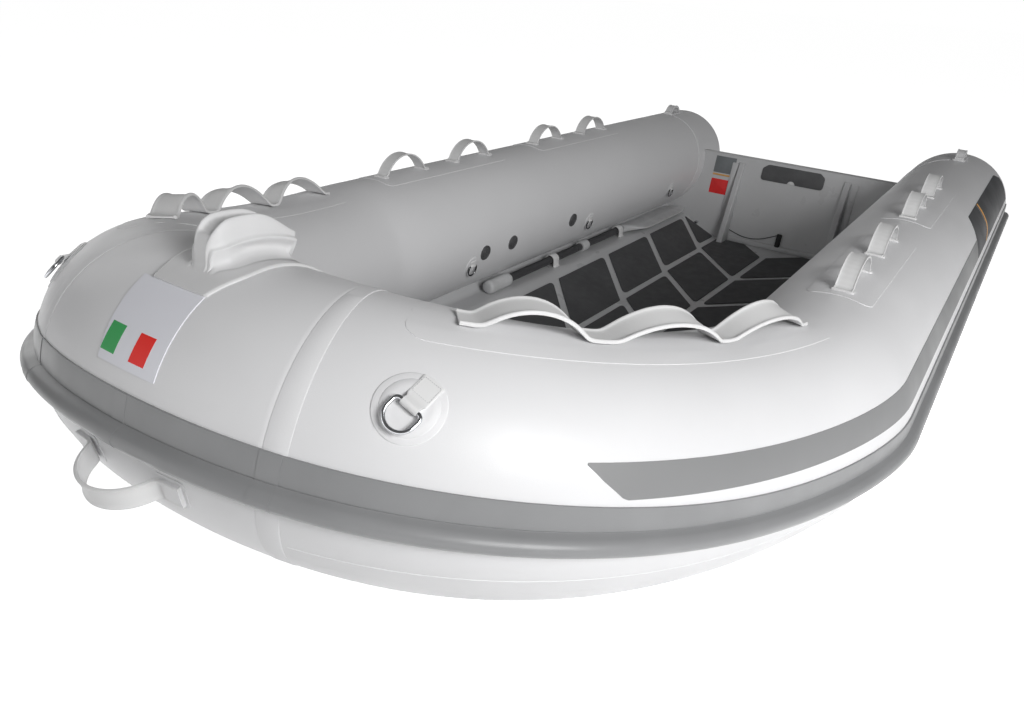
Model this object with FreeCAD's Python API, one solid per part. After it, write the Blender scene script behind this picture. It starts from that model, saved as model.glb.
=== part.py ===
import FreeCAD, Part
import math
import os
from FreeCAD import Vector, Matrix, Placement, Rotation

# Inflatable tender with a rigid V hull.
# Frame: +X to the bow, +Y to port, +Z up, origin on the waterline at the centreline.
# All lengths are millimetres and all angles are degrees.

# Air tubes
tube_radius = 215.0
tube_height = 222.0
half_beam = 679.0
stern_half_beam = 647.0
shoulder_x = 689.0
bow_x = 1639.0
tube_end_x = -1695.0
bow_flat_half_width = 464.0
bow_corner_x = 1319.0
bow_corner_half_width = 501.0
shoulder_lead = 185.0
sheer_rise = 171.0
sheer_power = 2.03
end_cone_length = 165.0
end_cone_radius = 95.0
end_shoulder_round = 70.0
end_disc_round = 24.0

# Glue line under everything bonded on the air tubes, and the same line on the deck
bond_gap = 0.6
bonded_radius = tube_radius + bond_gap

# Joints between the air chambers
seam_distance = 201.0
seam_band_width = 32.0
seam_band_thickness = 1.6

# Rub strake, angles round the tube up from the outward horizontal
strake_top_angle = 8.8
strake_bottom_angle = -13.1
strake_ridge_angle = -5.6
strake_bow_top_lift = 11.5
strake_bow_bottom_lift = 14.8
strake_bow_ridge_lift = 9.0
strake_lift_power = 2.97
strake_band_thickness = 3.0
strake_ridge_height = 25.0
strake_ridge_half_angle = 5.4
strake_lip_thickness = 4.0
strake_joint_distance = 197.0
strake_joint_gap = 1.0

# Second stripe and dark aft panel on the side tubes
stripe_thickness = 1.0
stripe_start = 484.0
stripe_taper = 56.0
stripe_bottom_angle = 16.0
stripe_top_angle = 30.5
panel_start = 2560.0
panel_taper = 100.0
panel_top_angle = 50.0
panel_end_inset = 45.0

# Rigid hull
keel_height = -190.0
chine_half_beam = 560.0
chine_height = -48.0
chine_flat_width = 26.0
spray_rail_share = 0.52
spray_rail_depth = 10.0
keel_strip_half_width = 18.0
keel_strip_depth = 9.0
hull_rise_start_x = 350.0
stem_height = 150.0
hull_rise_power = 2.2
hull_front_x = 1551.0
hull_edge_inset = 30.0

# Deck
deck_centre_height = -94.0
deck_side_height = -23.0
deck_knuckle = 264.0
deck_knuckle_spread = 0.045
deck_side_half_width = 468.0
deck_ledge_inner = 498.0
deck_ledge_outer = 574.0
deck_ledge_height = -13.0
deck_thickness = 9.0
deck_rise_power = 1.1
deck_edge_inset = 66.0
edge_gap = 0.4

# Dark floor pads
pad_thickness = 4.0
pad_line_width = 28.0
pad_pitch = 403.0
pad_slope = 1.14
pad_first_x = -1255.0
pad_aft_x = -1392.0
pad_front_x = 760.0
pad_outer_half_width = 462.0
pad_corner_radius = 14.0

# Transom
transom_top_x = -1493.0
transom_top_height = 294.0
transom_rake = 0.223
transom_thickness = 42.0
transom_edge_round = 6.0
rib_offset = 245.0
rib_width = 26.0
rib_top_height = 266.0
rib_foot = 78.0
rib_head = 10.0
rib_pad_gap = 3.0
motor_pad_half_width = 144.0
motor_pad_bottom = 209.0
motor_pad_top = 280.0
motor_pad_thickness = 5.0
motor_pad_corner = 16.0
motor_notch_radius = 19.0
outer_pad_half_width = 150.0
outer_pad_bottom = 112.0
label_thickness = 1.0
plate_inner_y = 277.0
plate_outer_y = 378.0
plate_top = 280.0
plate_bottom = 204.0
strip_top = 199.0
strip_bottom = 191.0
red_top = 175.0
red_bottom = 107.0
plug_y = 12.0
plug_top = -14.0
plug_bottom = -74.0
plug_radius = 13.0
plug_depth = 16.0
lanyard_radius = 2.0
lanyard_start_y = -231.0
lanyard_start_z = -44.0
lanyard_sag = 30.0
lanyard_points_count = 6

# Webbing loops, straps and patches
webbing_thickness = 4.0
patch_thickness = 1.2
patch_corner = 22.0
loop_angle = 89.0
loop_width = 56.0
loop_length = 171.0
loop_height = 58.0
loop_foot = 16.0
loop_first_starts = [1440.0, 1780.0]
loop_second_starts = [2262.0, 2610.0]
loop_patch_margin = 46.0
loop_patch_width = 144.0
strap_angle = 90.4
strap_width = 50.0
strap_height = 50.0
strap_foot = 22.0
strap_arches = [[356.0, 523.0], [589.0, 844.0], [886.0, 1126.0]]
bow_handle_angle = -16.5
bow_handle_half_span = 84.0
bow_handle_height = 66.0
bow_handle_width = 38.0
bow_handle_foot = 40.0
stern_handle_distance = 3512.0
stern_handle_length = 132.0
stern_handle_height = 46.0
stern_handle_width = 48.0
stern_handle_hole = 20.0

# Bow chock and badge
skirt_half_width = 66.0
skirt_front_angle = 61.0
skirt_aft_angle = 128.0
skirt_thickness = 5.0
skirt_corner = 42.0
chock_half_width = 29.0
chock_web_half_width = 13.0
chock_front = 60.0
chock_aft = 90.0
chock_height = 70.0
groove_half_width = 11.5
groove_depth = 4.0
badge_half_width = 51.0
badge_bottom_angle = 27.5
badge_top_angle = 59.5
badge_thickness = 0.8
colour_block_inner = 14.0
colour_block_width = 28.0
colour_block_bottom_angle = 31.0
colour_block_top_angle = 43.0
colour_block_thickness = 0.4

# Towing rings on the bow quarters
tow_distance = 304.0
tow_angle = 44.0
tow_turn = 59.0
tow_patch_radius = 50.0
tow_boss_radius = 41.0
tow_boss_thickness = 2.4
tow_tab_width = 36.0
tow_tab_length = 36.0
tow_tab_thickness = 3.0
tow_axis_height = 9.0
tow_wire_radius = 3.0
tow_bore_clearance = 0.4
tow_ring_half_width = 22.5
tow_ring_side = 9.0
tow_ring_corner = 7.5

# Small lashing rings and valves on the inner side of the tubes
lashing_distances = [1629.0, 2383.0, 3134.0]
lashing_angle = 197.0
lashing_patch_radius = 24.0
lashing_wire_radius = 2.0
lashing_ring_half_width = 12.0
lashing_ring_length = 22.0
valve_distances = [1690.0, 1846.0, 2241.0]
valve_angle = 188.5
valve_radius = 18.0
valve_height = 3.0
valve_cap_radius = 11.0
valve_cap_height = 5.0

# Oars on the side ledges
oar_y = 537.0
oar_shaft_radius = 18.0
oar_grip_radius = 24.0
oar_grip_front_x = 174.0
oar_grip_back_x = 41.0
oar_collar_x = -505.0
oar_collar_length = 50.0
oar_collar_radius = 22.0
blade_front_x = -850.0
blade_back_x = -1416.0
blade_half_width = 54.0
blade_thickness = 14.0
blade_y_shift = -30.0
oar_strap_xs = [-263.0, -815.0]
oar_strap_width = 38.0
oar_strap_thickness = 3.0
oar_strap_foot = 5.0

# Towing eye on the stem and small stern fittings
bow_eye_x = 1432.0
bow_eye_wire_radius = 5.0
bow_eye_half_width = 24.0
bow_eye_reach = 34.0
corner_fitting_x = -1415.5
corner_fitting_y = 400.0
corner_fitting_length = 20.0
corner_fitting_width = 14.0
corner_fitting_height = 12.0


def span(first, last, count):
    """Evenly spaced values from first to last, both included."""
    return [first + (last - first) * i / (count - 1) for i in range(count)]


def mirrored(shape):
    """The same shape on the starboard side."""
    return shape.mirror(Vector(0, 0, 0), Vector(0, 1, 0))


def fused(shapes):
    whole = shapes[0]
    for shape in shapes[1:]:
        whole = whole.fuse(shape)
    return whole


def compound_of(shapes):
    """Separate solids kept together in one node."""
    return Part.makeCompound(shapes)


def save(name, shape):
    shape.exportStep("parts/" + name + ".step")
    box = shape.BoundBox
    volume = sum(solid.Volume for solid in shape.Solids)
    print(
        f"{name:26s} solids {len(shape.Solids):2d} litres {volume / 1e6:9.4f}"
        f" valid {shape.isValid()} x {box.XMin:.0f}..{box.XMax:.0f}"
        f" y {box.YMin:.0f}..{box.YMax:.0f} z {box.ZMin:.0f}..{box.ZMax:.0f}"
    )


# Centreline of the port tube, from the middle of the bow to the stern

side_slope = (half_beam - stern_half_beam) / (shoulder_x - tube_end_x)
bow_poles = [
    Vector(bow_x, 0, 0),
    Vector(bow_x, bow_flat_half_width, 0),
    Vector(bow_corner_x, bow_corner_half_width, 0),
    Vector(shoulder_x + shoulder_lead, half_beam + side_slope * shoulder_lead, 0),
    Vector(shoulder_x, half_beam, 0),
]


def bow_plan(share):
    """Plan point on the bow curve, share 0 at the middle of the bow, 1 at the shoulder."""
    rest = 1.0 - share
    weights = [rest**4, 4 * share * rest**3, 6 * share**2 * rest**2, 4 * share**3 * rest, share**4]
    point = Vector(0, 0, 0)
    for weight, pole in zip(weights, bow_poles):
        point = point + pole * weight
    return point


def sheer(x):
    """Height of the tube centreline at x."""
    rise = max(0.0, (x - shoulder_x) / (bow_x - shoulder_x))
    return tube_height + sheer_rise * rise**sheer_power


bow_steps = 400
bow_shares = span(0.0, 1.0, bow_steps + 1)
bow_points = []
for share in bow_shares:
    plan = bow_plan(share)
    bow_points.append(Vector(plan.x, plan.y, sheer(plan.x)))
bow_distances = [0.0]
for before, after in zip(bow_points[:-1], bow_points[1:]):
    bow_distances.append(bow_distances[-1] + (after - before).Length)
shoulder_distance = bow_distances[-1]
straight_direction = Vector(tube_end_x - shoulder_x, stern_half_beam - half_beam, 0).normalize()
straight_length = Vector(tube_end_x - shoulder_x, stern_half_beam - half_beam, 0).Length
end_distance = shoulder_distance + straight_length


def centre_point(distance):
    """Tube centre at a distance along the tube, negative on the starboard side."""
    run = abs(distance)
    if run >= shoulder_distance:
        point = bow_points[-1] + straight_direction * (run - shoulder_distance)
    else:
        low = 0
        high = bow_steps
        while high - low > 1:
            middle = (low + high) // 2
            if bow_distances[middle] <= run:
                low = middle
            else:
                high = middle
        part = (run - bow_distances[low]) / (bow_distances[high] - bow_distances[low])
        share = bow_shares[low] + part * (bow_shares[high] - bow_shares[low])
        plan = bow_plan(share)
        point = Vector(plan.x, plan.y, sheer(plan.x))
    if distance < 0:
        point = Vector(point.x, -point.y, point.z)
    return point


def travel_direction(distance):
    """Unit direction of the tube towards the port stern."""
    step = 2.0
    if distance >= shoulder_distance:
        return Vector(straight_direction)
    if distance <= -shoulder_distance:
        return Vector(-straight_direction.x, straight_direction.y, 0)
    return (centre_point(distance + step) - centre_point(distance - step)).normalize()


def section_axes(distance):
    """Centre, travel direction, outward and upward directions of the tube section."""
    travel = travel_direction(distance)
    outward = travel.cross(Vector(0, 0, 1)).normalize()
    upward = outward.cross(travel).normalize()
    return centre_point(distance), travel, outward, upward


def tube_point(distance, angle, radius):
    """Point at an angle up from the outward horizontal and a radius from the tube centre."""
    centre, travel, outward, upward = section_axes(distance)
    turn = math.radians(angle)
    return centre + outward * (radius * math.cos(turn)) + upward * (radius * math.sin(turn))


def surface_frame(distance, angle, turn=0.0):
    """Placement on the tube surface: Z out of the tube, X forward, turned about Z."""
    centre, travel, outward, upward = section_axes(distance)
    lift = math.radians(angle)
    normal = outward * math.cos(lift) + upward * math.sin(lift)
    forward = travel * -1.0
    across = normal.cross(forward)
    origin = centre + normal * tube_radius
    matrix = Matrix(
        forward.x, across.x, normal.x, origin.x,
        forward.y, across.y, normal.y, origin.y,
        forward.z, across.z, normal.z, origin.z,
        0, 0, 0, 1,
    )
    return Placement(matrix).multiply(Placement(Vector(0, 0, 0), Rotation(Vector(0, 0, 1), turn)))


def placed(shape, placement):
    moved = shape.copy()
    moved.Placement = placement.multiply(moved.Placement)
    return moved


def ring_wire(distance, radius):
    """Round tube section made of two half circles."""
    upper = arc_edge(distance, 0.0, 180.0, radius)
    lower = arc_edge(distance, 180.0, 360.0, radius)
    return Part.Wire([upper, lower])


def tube_sweep(first, last, radius):
    """Solid round tube between two distances."""
    pieces = []
    if first < shoulder_distance:
        reach = min(last, shoulder_distance)
        count = max(5, int((reach - first) / 80.0) + 2)
        pieces.append(loft([ring_wire(distance, radius) for distance in span(first, reach, count)]))
    if last > shoulder_distance:
        start = max(first, shoulder_distance)
        pieces.append(Part.makeCylinder(radius, last - start, centre_point(start), straight_direction))
    return fused(pieces)


def tube_skin(first, last, thickness):
    """Ring of cloth round the tube between two distances."""
    outer = tube_sweep(first, last, bonded_radius + thickness)
    return outer.cut(tube_sweep(first, last, bonded_radius))


def arc_edge(distance, low_angle, high_angle, radius):
    """Arc round the tube section."""
    middle = 0.5 * (low_angle + high_angle)
    return Part.Arc(
        tube_point(distance, low_angle, radius),
        tube_point(distance, middle, radius),
        tube_point(distance, high_angle, radius),
    ).toShape()


def line_edge(start, end):
    return Part.LineSegment(start, end).toShape()


def band_wire(distance, low_angle, high_angle, thickness):
    """Closed section of a thin band lying on the tube."""
    inner = bonded_radius
    outer = inner + thickness
    return Part.Wire([
        arc_edge(distance, low_angle, high_angle, inner),
        line_edge(tube_point(distance, high_angle, inner), tube_point(distance, high_angle, outer)),
        arc_edge(distance, high_angle, low_angle, outer),
        line_edge(tube_point(distance, low_angle, outer), tube_point(distance, low_angle, inner)),
    ])


def loft(wires, ruled=False):
    return Part.makeLoft(wires, True, ruled)


# Air chambers


def make_tube_bow():
    return tube_sweep(-seam_distance, seam_distance, tube_radius)


def make_end_cone():
    """Rounded cone that closes the aft end of the port tube."""
    start = centre_point(end_distance)
    cone = Part.makeCone(tube_radius, end_cone_radius, end_cone_length, start, straight_direction)
    sleeve_start = start - straight_direction * (2 * end_shoulder_round)
    sleeve = Part.makeCylinder(tube_radius, 2 * end_shoulder_round, sleeve_start, straight_direction)
    body = sleeve.fuse(cone)
    rounded = []
    for edge in body.Edges:
        if edge.isClosed() and abs(edge.Curve.Radius - tube_radius) < 0.5:
            if (edge.CenterOfMass - start).Length < 1.0:
                rounded.append((edge, end_shoulder_round))
        elif edge.isClosed() and abs(edge.Curve.Radius - end_cone_radius) < 0.5:
            rounded.append((edge, end_disc_round))
    for edge, radius in rounded:
        matches = [e for e in body.Edges if e.isClosed() and (e.CenterOfMass - edge.CenterOfMass).Length < 1.0]
        body = body.makeFillet(radius, matches)
    return body


def make_tube_quarter():
    """Curved part of the port chamber from the seam to the shoulder."""
    return tube_sweep(seam_distance, shoulder_distance, tube_radius)


def make_tube_side():
    """Straight part of the port chamber with its aft cone."""
    length = straight_length - 2 * end_shoulder_round
    straight = Part.makeCylinder(tube_radius, length, centre_point(shoulder_distance), straight_direction)
    return straight.fuse(make_end_cone()).removeSplitter()


def make_seam_band():
    half = 0.5 * seam_band_width
    return tube_skin(seam_distance - half, seam_distance + half, seam_band_thickness)


# Rub strake


def bow_lift(distance):
    """How far a section is towards the bow: 0 aft of the shoulder, 1 at the bow."""
    x = centre_point(distance).x
    return max(0.0, (x - shoulder_x) / (bow_x - shoulder_x)) ** strake_lift_power


def strake_wire(distance):
    """Section of the strake: flat band, rounded ridge and lower lip."""
    lift = bow_lift(distance)
    top = strake_top_angle + strake_bow_top_lift * lift
    bottom = strake_bottom_angle + strake_bow_bottom_lift * lift
    ridge = strake_ridge_angle + strake_bow_ridge_lift * lift
    band = tube_radius + strake_band_thickness
    lip = tube_radius + strake_lip_thickness
    ridge_top = ridge + strake_ridge_half_angle
    ridge_bottom = max(ridge - strake_ridge_half_angle, bottom + 0.6)
    peak = tube_point(distance, ridge, tube_radius + strake_ridge_height)
    return Part.Wire([
        line_edge(tube_point(distance, top, bonded_radius), tube_point(distance, top, band)),
        arc_edge(distance, top, ridge_top, band),
        Part.Arc(
            tube_point(distance, ridge_top, band), peak, tube_point(distance, ridge_bottom, lip)
        ).toShape(),
        arc_edge(distance, ridge_bottom, bottom, lip),
        line_edge(tube_point(distance, bottom, lip), tube_point(distance, bottom, bonded_radius)),
        arc_edge(distance, bottom, top, bonded_radius),
    ])


def extruded_back(wire, length):
    """Prism from a section on the straight tube towards the stern."""
    return Part.Face(wire).extrude(straight_direction * length)


def make_strake_bow():
    reach = strake_joint_distance - strake_joint_gap
    return loft([strake_wire(distance) for distance in span(-reach, reach, 13)])


def make_strake_side():
    curved = loft([strake_wire(distance) for distance in span(strake_joint_distance, shoulder_distance, 15)])
    straight = extruded_back(strake_wire(shoulder_distance), straight_length)
    return curved.fuse(straight)


def make_side_band(first, last, bottom, top):
    """Thin band on the port tube between two angles."""
    pieces = []
    if first < shoulder_distance:
        reach = min(last, shoulder_distance)
        count = max(3, int((reach - first) / 60.0) + 1)
        sections = [band_wire(distance, bottom, top, stripe_thickness) for distance in span(first, reach, count)]
        pieces.append(loft(sections))
    if last > shoulder_distance:
        start = max(first, shoulder_distance)
        pieces.append(extruded_back(band_wire(start, bottom, top, stripe_thickness), last - start))
    band = pieces[0]
    for piece in pieces[1:]:
        band = band.fuse(piece)
    return band


def slanted_block(distance, angle, lean, rise, side):
    """Block over the tube on one side of a slanted line, side 1 forward and -1 aft."""
    reach = 700.0
    corners = [
        Vector(2 * lean, -2 * rise, -90),
        Vector(-2 * lean, 2 * rise, -90),
        Vector(side * reach, 2 * rise, -90),
        Vector(side * reach, -2 * rise, -90),
    ]
    block = Part.Face(Part.makePolygon(corners + corners[:1])).extrude(Vector(0, 0, 180))
    return placed(block, surface_frame(distance, angle))


def make_stripe():
    band = make_side_band(stripe_start - 10, panel_start + 120, stripe_bottom_angle, stripe_top_angle)
    middle_angle = 0.5 * (stripe_bottom_angle + stripe_top_angle)
    rise = math.radians(stripe_top_angle - middle_angle) * tube_radius
    nose = slanted_block(stripe_start + 0.5 * stripe_taper, middle_angle, 0.68 * stripe_taper, rise, 1)
    return band.cut(nose).cut(panel_front_block(-1))


def panel_front_block(side):
    middle_angle = 0.5 * (stripe_bottom_angle + panel_top_angle)
    rise = math.radians(panel_top_angle - middle_angle) * tube_radius
    return slanted_block(panel_start + 0.5 * panel_taper, middle_angle, -0.5 * panel_taper, rise, side)


def make_aft_panel():
    last = end_distance - panel_end_inset
    band = make_side_band(panel_start - 30, last, stripe_bottom_angle, panel_top_angle)
    return band.cut(panel_front_block(1))


# Rigid hull and deck


def under_tube(inset):
    """Depth below the tube centre of its lower surface at an inset."""
    return math.sqrt(tube_radius**2 - inset**2) + edge_gap


def inner_edge(x, inset):
    """Half width of the line set inside the tube centreline at x, and the tube height there."""
    if x <= shoulder_x:
        share = (x - tube_end_x) / (shoulder_x - tube_end_x)
        return stern_half_beam + (half_beam - stern_half_beam) * share - inset, tube_height
    previous = None
    for step in range(bow_steps, -1, -4):
        distance = bow_distances[step]
        centre, travel, outward, upward = section_axes(distance)
        flat = Vector(outward.x, outward.y, 0).normalize()
        point = centre - flat * inset
        if previous is not None and point.x >= x:
            part = (x - previous.x) / (point.x - previous.x)
            return previous.y + part * (point.y - previous.y), previous.z + part * (point.z - previous.z)
        previous = point
    return 0.0, previous.z


def rise_share(x, first_x, power):
    share = (x - first_x) / (hull_front_x - first_x)
    return min(1.0, max(0.0, share)) ** power


def width_share(x):
    return inner_edge(x, deck_edge_inset)[0] / inner_edge(0.0, deck_edge_inset)[0]


def deck_half_points(x, shift):
    """Half section of the deck top from the middle outwards, shifted up."""
    edge_y, tube_z = inner_edge(x, deck_edge_inset)
    width = width_share(x)
    knuckle = (deck_knuckle - deck_knuckle_spread * (x - 0.35 * tube_end_x)) * width
    lift = rise_share(x, shoulder_x, deck_rise_power)
    front_height = tube_z - under_tube(bow_x - hull_front_x) - 1.0
    heights = [deck_centre_height, deck_centre_height, deck_side_height, deck_ledge_height, deck_ledge_height]
    widths = [
        0.0, knuckle, deck_side_half_width * width, deck_ledge_inner * width, deck_ledge_outer * width,
    ]
    points = [
        Vector(x, y, z + (front_height - z) * lift + shift) for y, z in zip(widths, heights)
    ]
    points.append(Vector(x, edge_y, tube_z - under_tube(deck_edge_inset) + shift))
    return points


def hull_half_points(x):
    """Half section of the hull bottom from the keel to the edge hidden in the tube."""
    edge_y, tube_z = inner_edge(x, hull_edge_inset)
    width = width_share(x)
    keel = keel_height + (stem_height - keel_height) * rise_share(x, hull_rise_start_x, hull_rise_power)
    bow_chine = tube_z - tube_radius + 9.0
    chine = chine_height + (bow_chine - chine_height) * rise_share(x, hull_rise_start_x, 1.7)
    chine_out = chine_half_beam * width
    chine_in = chine_out - chine_flat_width * width
    slope = (chine - keel) / chine_in
    rail_out = chine_out * spray_rail_share
    rail_in = rail_out - 24.0 * width
    strip = keel_strip_half_width * width
    points = [
        (0.0, keel - keel_strip_depth),
        (strip, keel - keel_strip_depth),
        (strip * 1.2, keel + slope * strip * 1.2),
        (rail_in, keel + slope * rail_in),
        (rail_out, keel + slope * rail_in - 0.4 * spray_rail_depth),
        (rail_out, keel + slope * rail_out),
        (chine_in, chine),
        (chine_out, chine - 0.2 * spray_rail_depth),
        (edge_y, tube_z - under_tube(hull_edge_inset)),
    ]
    return [Vector(x, y, z) for y, z in points]


def full_section(outline):
    """Closed section from a half outline that starts and ends on the middle plane."""
    other = [Vector(point.x, -point.y, point.z) for point in outline[-2:0:-1]]
    points = outline + other
    return Part.makePolygon(points + points[:1])


def hull_stations():
    aft = span(transom_top_x - 110.0, shoulder_x - 90.0, 6)
    fore = [hull_front_x - (hull_front_x - shoulder_x) * share for share in (0.78, 0.54, 0.34, 0.18, 0.07, 0.0)]
    return aft + fore


def make_hull_block():
    sections = []
    for x in hull_stations():
        top = deck_half_points(x, -deck_thickness - bond_gap)
        sections.append(full_section(hull_half_points(x) + top[::-1]))
    return loft(sections)


def make_tube_seat():
    """Space of the air tubes with their glue line, which the hull and the deck are fitted to."""
    bow = tube_sweep(-shoulder_distance, shoulder_distance, bonded_radius)
    start = centre_point(shoulder_distance - 1.0)
    side = Part.makeCylinder(bonded_radius, straight_length, start, straight_direction)
    return [bow, side, mirrored(side)]


def cut_by_all(shape, tools):
    for tool in tools:
        shape = shape.cut(tool)
    return shape


def make_deck_slab(low, high):
    """Slab that follows the deck between two shifts."""
    sections = []
    for x in hull_stations():
        top = deck_half_points(x, high)
        bottom = deck_half_points(x, low)
        sections.append(full_section(top + bottom[::-1]))
    return loft(sections)


def transom_face_x(z):
    """Inner face of the transom at height z on the middle plane."""
    return transom_top_x + transom_rake * (transom_top_height - z)


def raked_slab(aft, forward):
    """Slab parallel to the inner face of the transom between two offsets along X."""
    low = -400.0
    high = 600.0
    corners = [
        Vector(transom_face_x(low) + aft, -900, low),
        Vector(transom_face_x(low) + forward, -900, low),
        Vector(transom_face_x(high) + forward, -900, high),
        Vector(transom_face_x(high) + aft, -900, high),
    ]
    return Part.Face(Part.makePolygon(corners + corners[:1])).extrude(Vector(0, 1800, 0))


def board_prism(outline):
    """Prism along X from (y, z) pairs, long enough to cross the transom."""
    points = [Vector(transom_top_x - 400, y, z) for y, z in outline]
    return Part.Face(Part.makePolygon(points + points[:1])).extrude(Vector(900, 0, 0))


def rounded_board(low_y, high_y, low_z, high_z, corner):
    """Block along X with rounded corners, long enough to cross the transom."""
    block = Part.makeBox(900, high_y - low_y, high_z - low_z, Vector(transom_top_x - 400, low_y, low_z))
    long_edges = [edge for edge in block.Edges if edge.Length > 899]
    return block.makeFillet(corner, long_edges)


def make_transom():
    station = transom_face_x(0.0)
    side_y, tube_z = inner_edge(station, 0.0)
    outline = [(point.y, point.z) for point in hull_half_points(station)]
    outline.append((side_y, tube_z))
    outline.append((side_y - 0.85 * tube_radius, transom_top_height))
    other = [(-y, z) for y, z in outline[::-1] if y > 0]
    board = board_prism(outline + other).common(raked_slab(-transom_thickness, 0.0))
    top_edges = []
    for edge in board.Edges:
        box = edge.BoundBox
        if box.ZMin > transom_top_height - 0.5 and box.YLength > 500:
            top_edges.append(edge)
    return board.makeFillet(transom_edge_round, top_edges)


def make_rib():
    top = Vector(transom_face_x(rib_top_height), 0, rib_top_height)
    foot = Vector(transom_face_x(deck_centre_height), 0, deck_centre_height)
    corners = [top, top + Vector(rib_head, 0, 0), foot + Vector(rib_foot, 0, 0), foot]
    face = Part.Face(Part.makePolygon(corners + corners[:1]))
    rib = face.extrude(Vector(0, rib_width, 0))
    rib.translate(Vector(0, rib_offset - 0.5 * rib_width, 0))
    front = [edge for edge in rib.Edges if edge.Length > 300 and edge.BoundBox.XMax > foot.x + 0.9 * rib_foot]
    return rib.makeFillet(4.0, front)


def make_motor_pad_inner():
    pad = rounded_board(
        -motor_pad_half_width, motor_pad_half_width, motor_pad_bottom, motor_pad_top, motor_pad_corner
    ).common(raked_slab(0.0, motor_pad_thickness))
    notch_start = Vector(transom_top_x - 400, 0, motor_pad_bottom - 0.2 * motor_notch_radius)
    notch = Part.makeCylinder(motor_notch_radius, 900, notch_start, Vector(1, 0, 0))
    return pad.cut(notch)


def make_motor_pad_outer():
    block = rounded_board(
        -outer_pad_half_width, outer_pad_half_width, outer_pad_bottom, motor_pad_top, motor_pad_corner
    )
    return block.common(raked_slab(-transom_thickness - motor_pad_thickness, -transom_thickness))


def make_labels():
    plates = []
    for low_z, high_z in ((plate_bottom, plate_top), (strip_bottom, strip_top), (red_bottom, red_top)):
        outline = [
            (-plate_outer_y, low_z), (-plate_inner_y, low_z), (-plate_inner_y, high_z), (-plate_outer_y, high_z),
        ]
        plates.append(board_prism(outline).common(raked_slab(0.0, label_thickness)))
    return compound_of(plates)


def make_drain_plug():
    block = rounded_board(
        plug_y - plug_radius, plug_y + plug_radius, plug_bottom, plug_top, 0.8 * plug_radius
    ).common(raked_slab(0.0, plug_depth))
    return block


# Thin line from the rib to the drain plug


def lanyard_points():
    points = []
    for share in span(0.0, 1.0, lanyard_points_count):
        y = lanyard_start_y + (plug_y - plug_radius - lanyard_start_y) * share
        z = lanyard_start_z + (plug_top - 10.0 - lanyard_start_z) * share
        z = z - lanyard_sag * 4.0 * share * (1.0 - share)
        points.append(Vector(transom_face_x(z) + lanyard_radius + 0.6, y, z))
    return points


def make_cord(points, radius):
    """Round cord along straight runs joined by tangent arcs, prints the arc radii."""
    edges = []
    radii = []
    start = points[0]
    for before, corner, after in zip(points[:-2], points[1:-1], points[2:]):
        back = (before - corner).normalize()
        ahead = (after - corner).normalize()
        half_turn = 0.5 * (math.pi - back.getAngle(ahead))
        run = min((before - corner).Length, (after - corner).Length)
        trim = 0.45 * run
        bend = trim / math.tan(half_turn)
        radii.append(round(bend, 1))
        first = corner + back * trim
        last = corner + ahead * trim
        inward = (back + ahead).normalize()
        centre = corner + inward * (bend / math.cos(half_turn))
        middle = centre - inward * bend
        edges.append(line_edge(start, first))
        edges.append(Part.Arc(first, middle, last).toShape())
        start = last
    edges.append(line_edge(start, points[-1]))
    path = Part.Wire(edges)
    direction = (points[1] - points[0]).normalize()
    circle = Part.Wire([Part.makeCircle(radius, points[0], direction)])
    print("cord arc radii", radii)
    return path.makePipeShell([circle], True, True)


# Floor pads


def rounded_polygon_prism(corners, radius, low, high):
    """Upright prism over plan corners with rounded upright edges."""
    points = [Vector(x, y, low) for x, y in corners]
    prism = Part.Face(Part.makePolygon(points + points[:1])).extrude(Vector(0, 0, high - low))
    upright = [edge for edge in prism.Edges if edge.BoundBox.ZLength > 0.9 * (high - low)]
    return prism.makeFillet(radius, upright)


def clipped(corners, x_limit, forward):
    """Plan polygon kept on one side of a line across the boat."""
    kept = []
    sign = 1.0 if forward else -1.0
    for (x0, y0), (x1, y1) in zip(corners, corners[1:] + corners[:1]):
        inside0 = sign * (x0 - x_limit) >= 0
        inside1 = sign * (x1 - x_limit) >= 0
        if inside0:
            kept.append((x0, y0))
        if inside0 != inside1:
            part = (x_limit - x0) / (x1 - x0)
            kept.append((x_limit, y0 + part * (y1 - y0)))
    return kept


def polygon_area(corners):
    total = 0.0
    for (x0, y0), (x1, y1) in zip(corners, corners[1:] + corners[:1]):
        total += x0 * y1 - x1 * y0
    return abs(total) / 2.0


def pad_outlines():
    """Plan outlines of the pads on the port side."""
    half_line = 0.5 * pad_line_width
    step = half_line * math.sqrt(1.0 + pad_slope**2)
    outlines = []
    count = int((pad_front_x - pad_aft_x) / pad_pitch) + 4
    for index in range(-1, count):
        aft = pad_first_x + pad_pitch * index
        front = aft + pad_pitch
        middle_x = 0.5 * (aft + front)
        knuckle = deck_knuckle - deck_knuckle_spread * (middle_x - 0.35 * tube_end_x)
        for low_y, high_y in ((half_line, knuckle - half_line), (knuckle + half_line, pad_outer_half_width)):
            high = min(high_y, pad_outer_half_width)
            corners = [
                (aft + step - pad_slope * low_y, low_y),
                (front - step - pad_slope * low_y, low_y),
                (front - step - pad_slope * high, high),
                (aft + step - pad_slope * high, high),
            ]
            corners = clipped(corners, pad_aft_x, True)
            if len(corners) > 2:
                corners = clipped(corners, pad_front_x, False)
            if len(corners) > 2 and polygon_area(corners) > 9000.0:
                outlines.append(corners)
    return outlines


def rib_clearance():
    """Upright block round the foot of the port rib, to cut the floor pads."""
    foot_x = transom_face_x(deck_centre_height)
    return Part.makeBox(
        rib_foot + rib_pad_gap, rib_width + 2 * rib_pad_gap, 300.0,
        Vector(foot_x, rib_offset - 0.5 * rib_width - rib_pad_gap, deck_centre_height - 100.0),
    )


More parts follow.
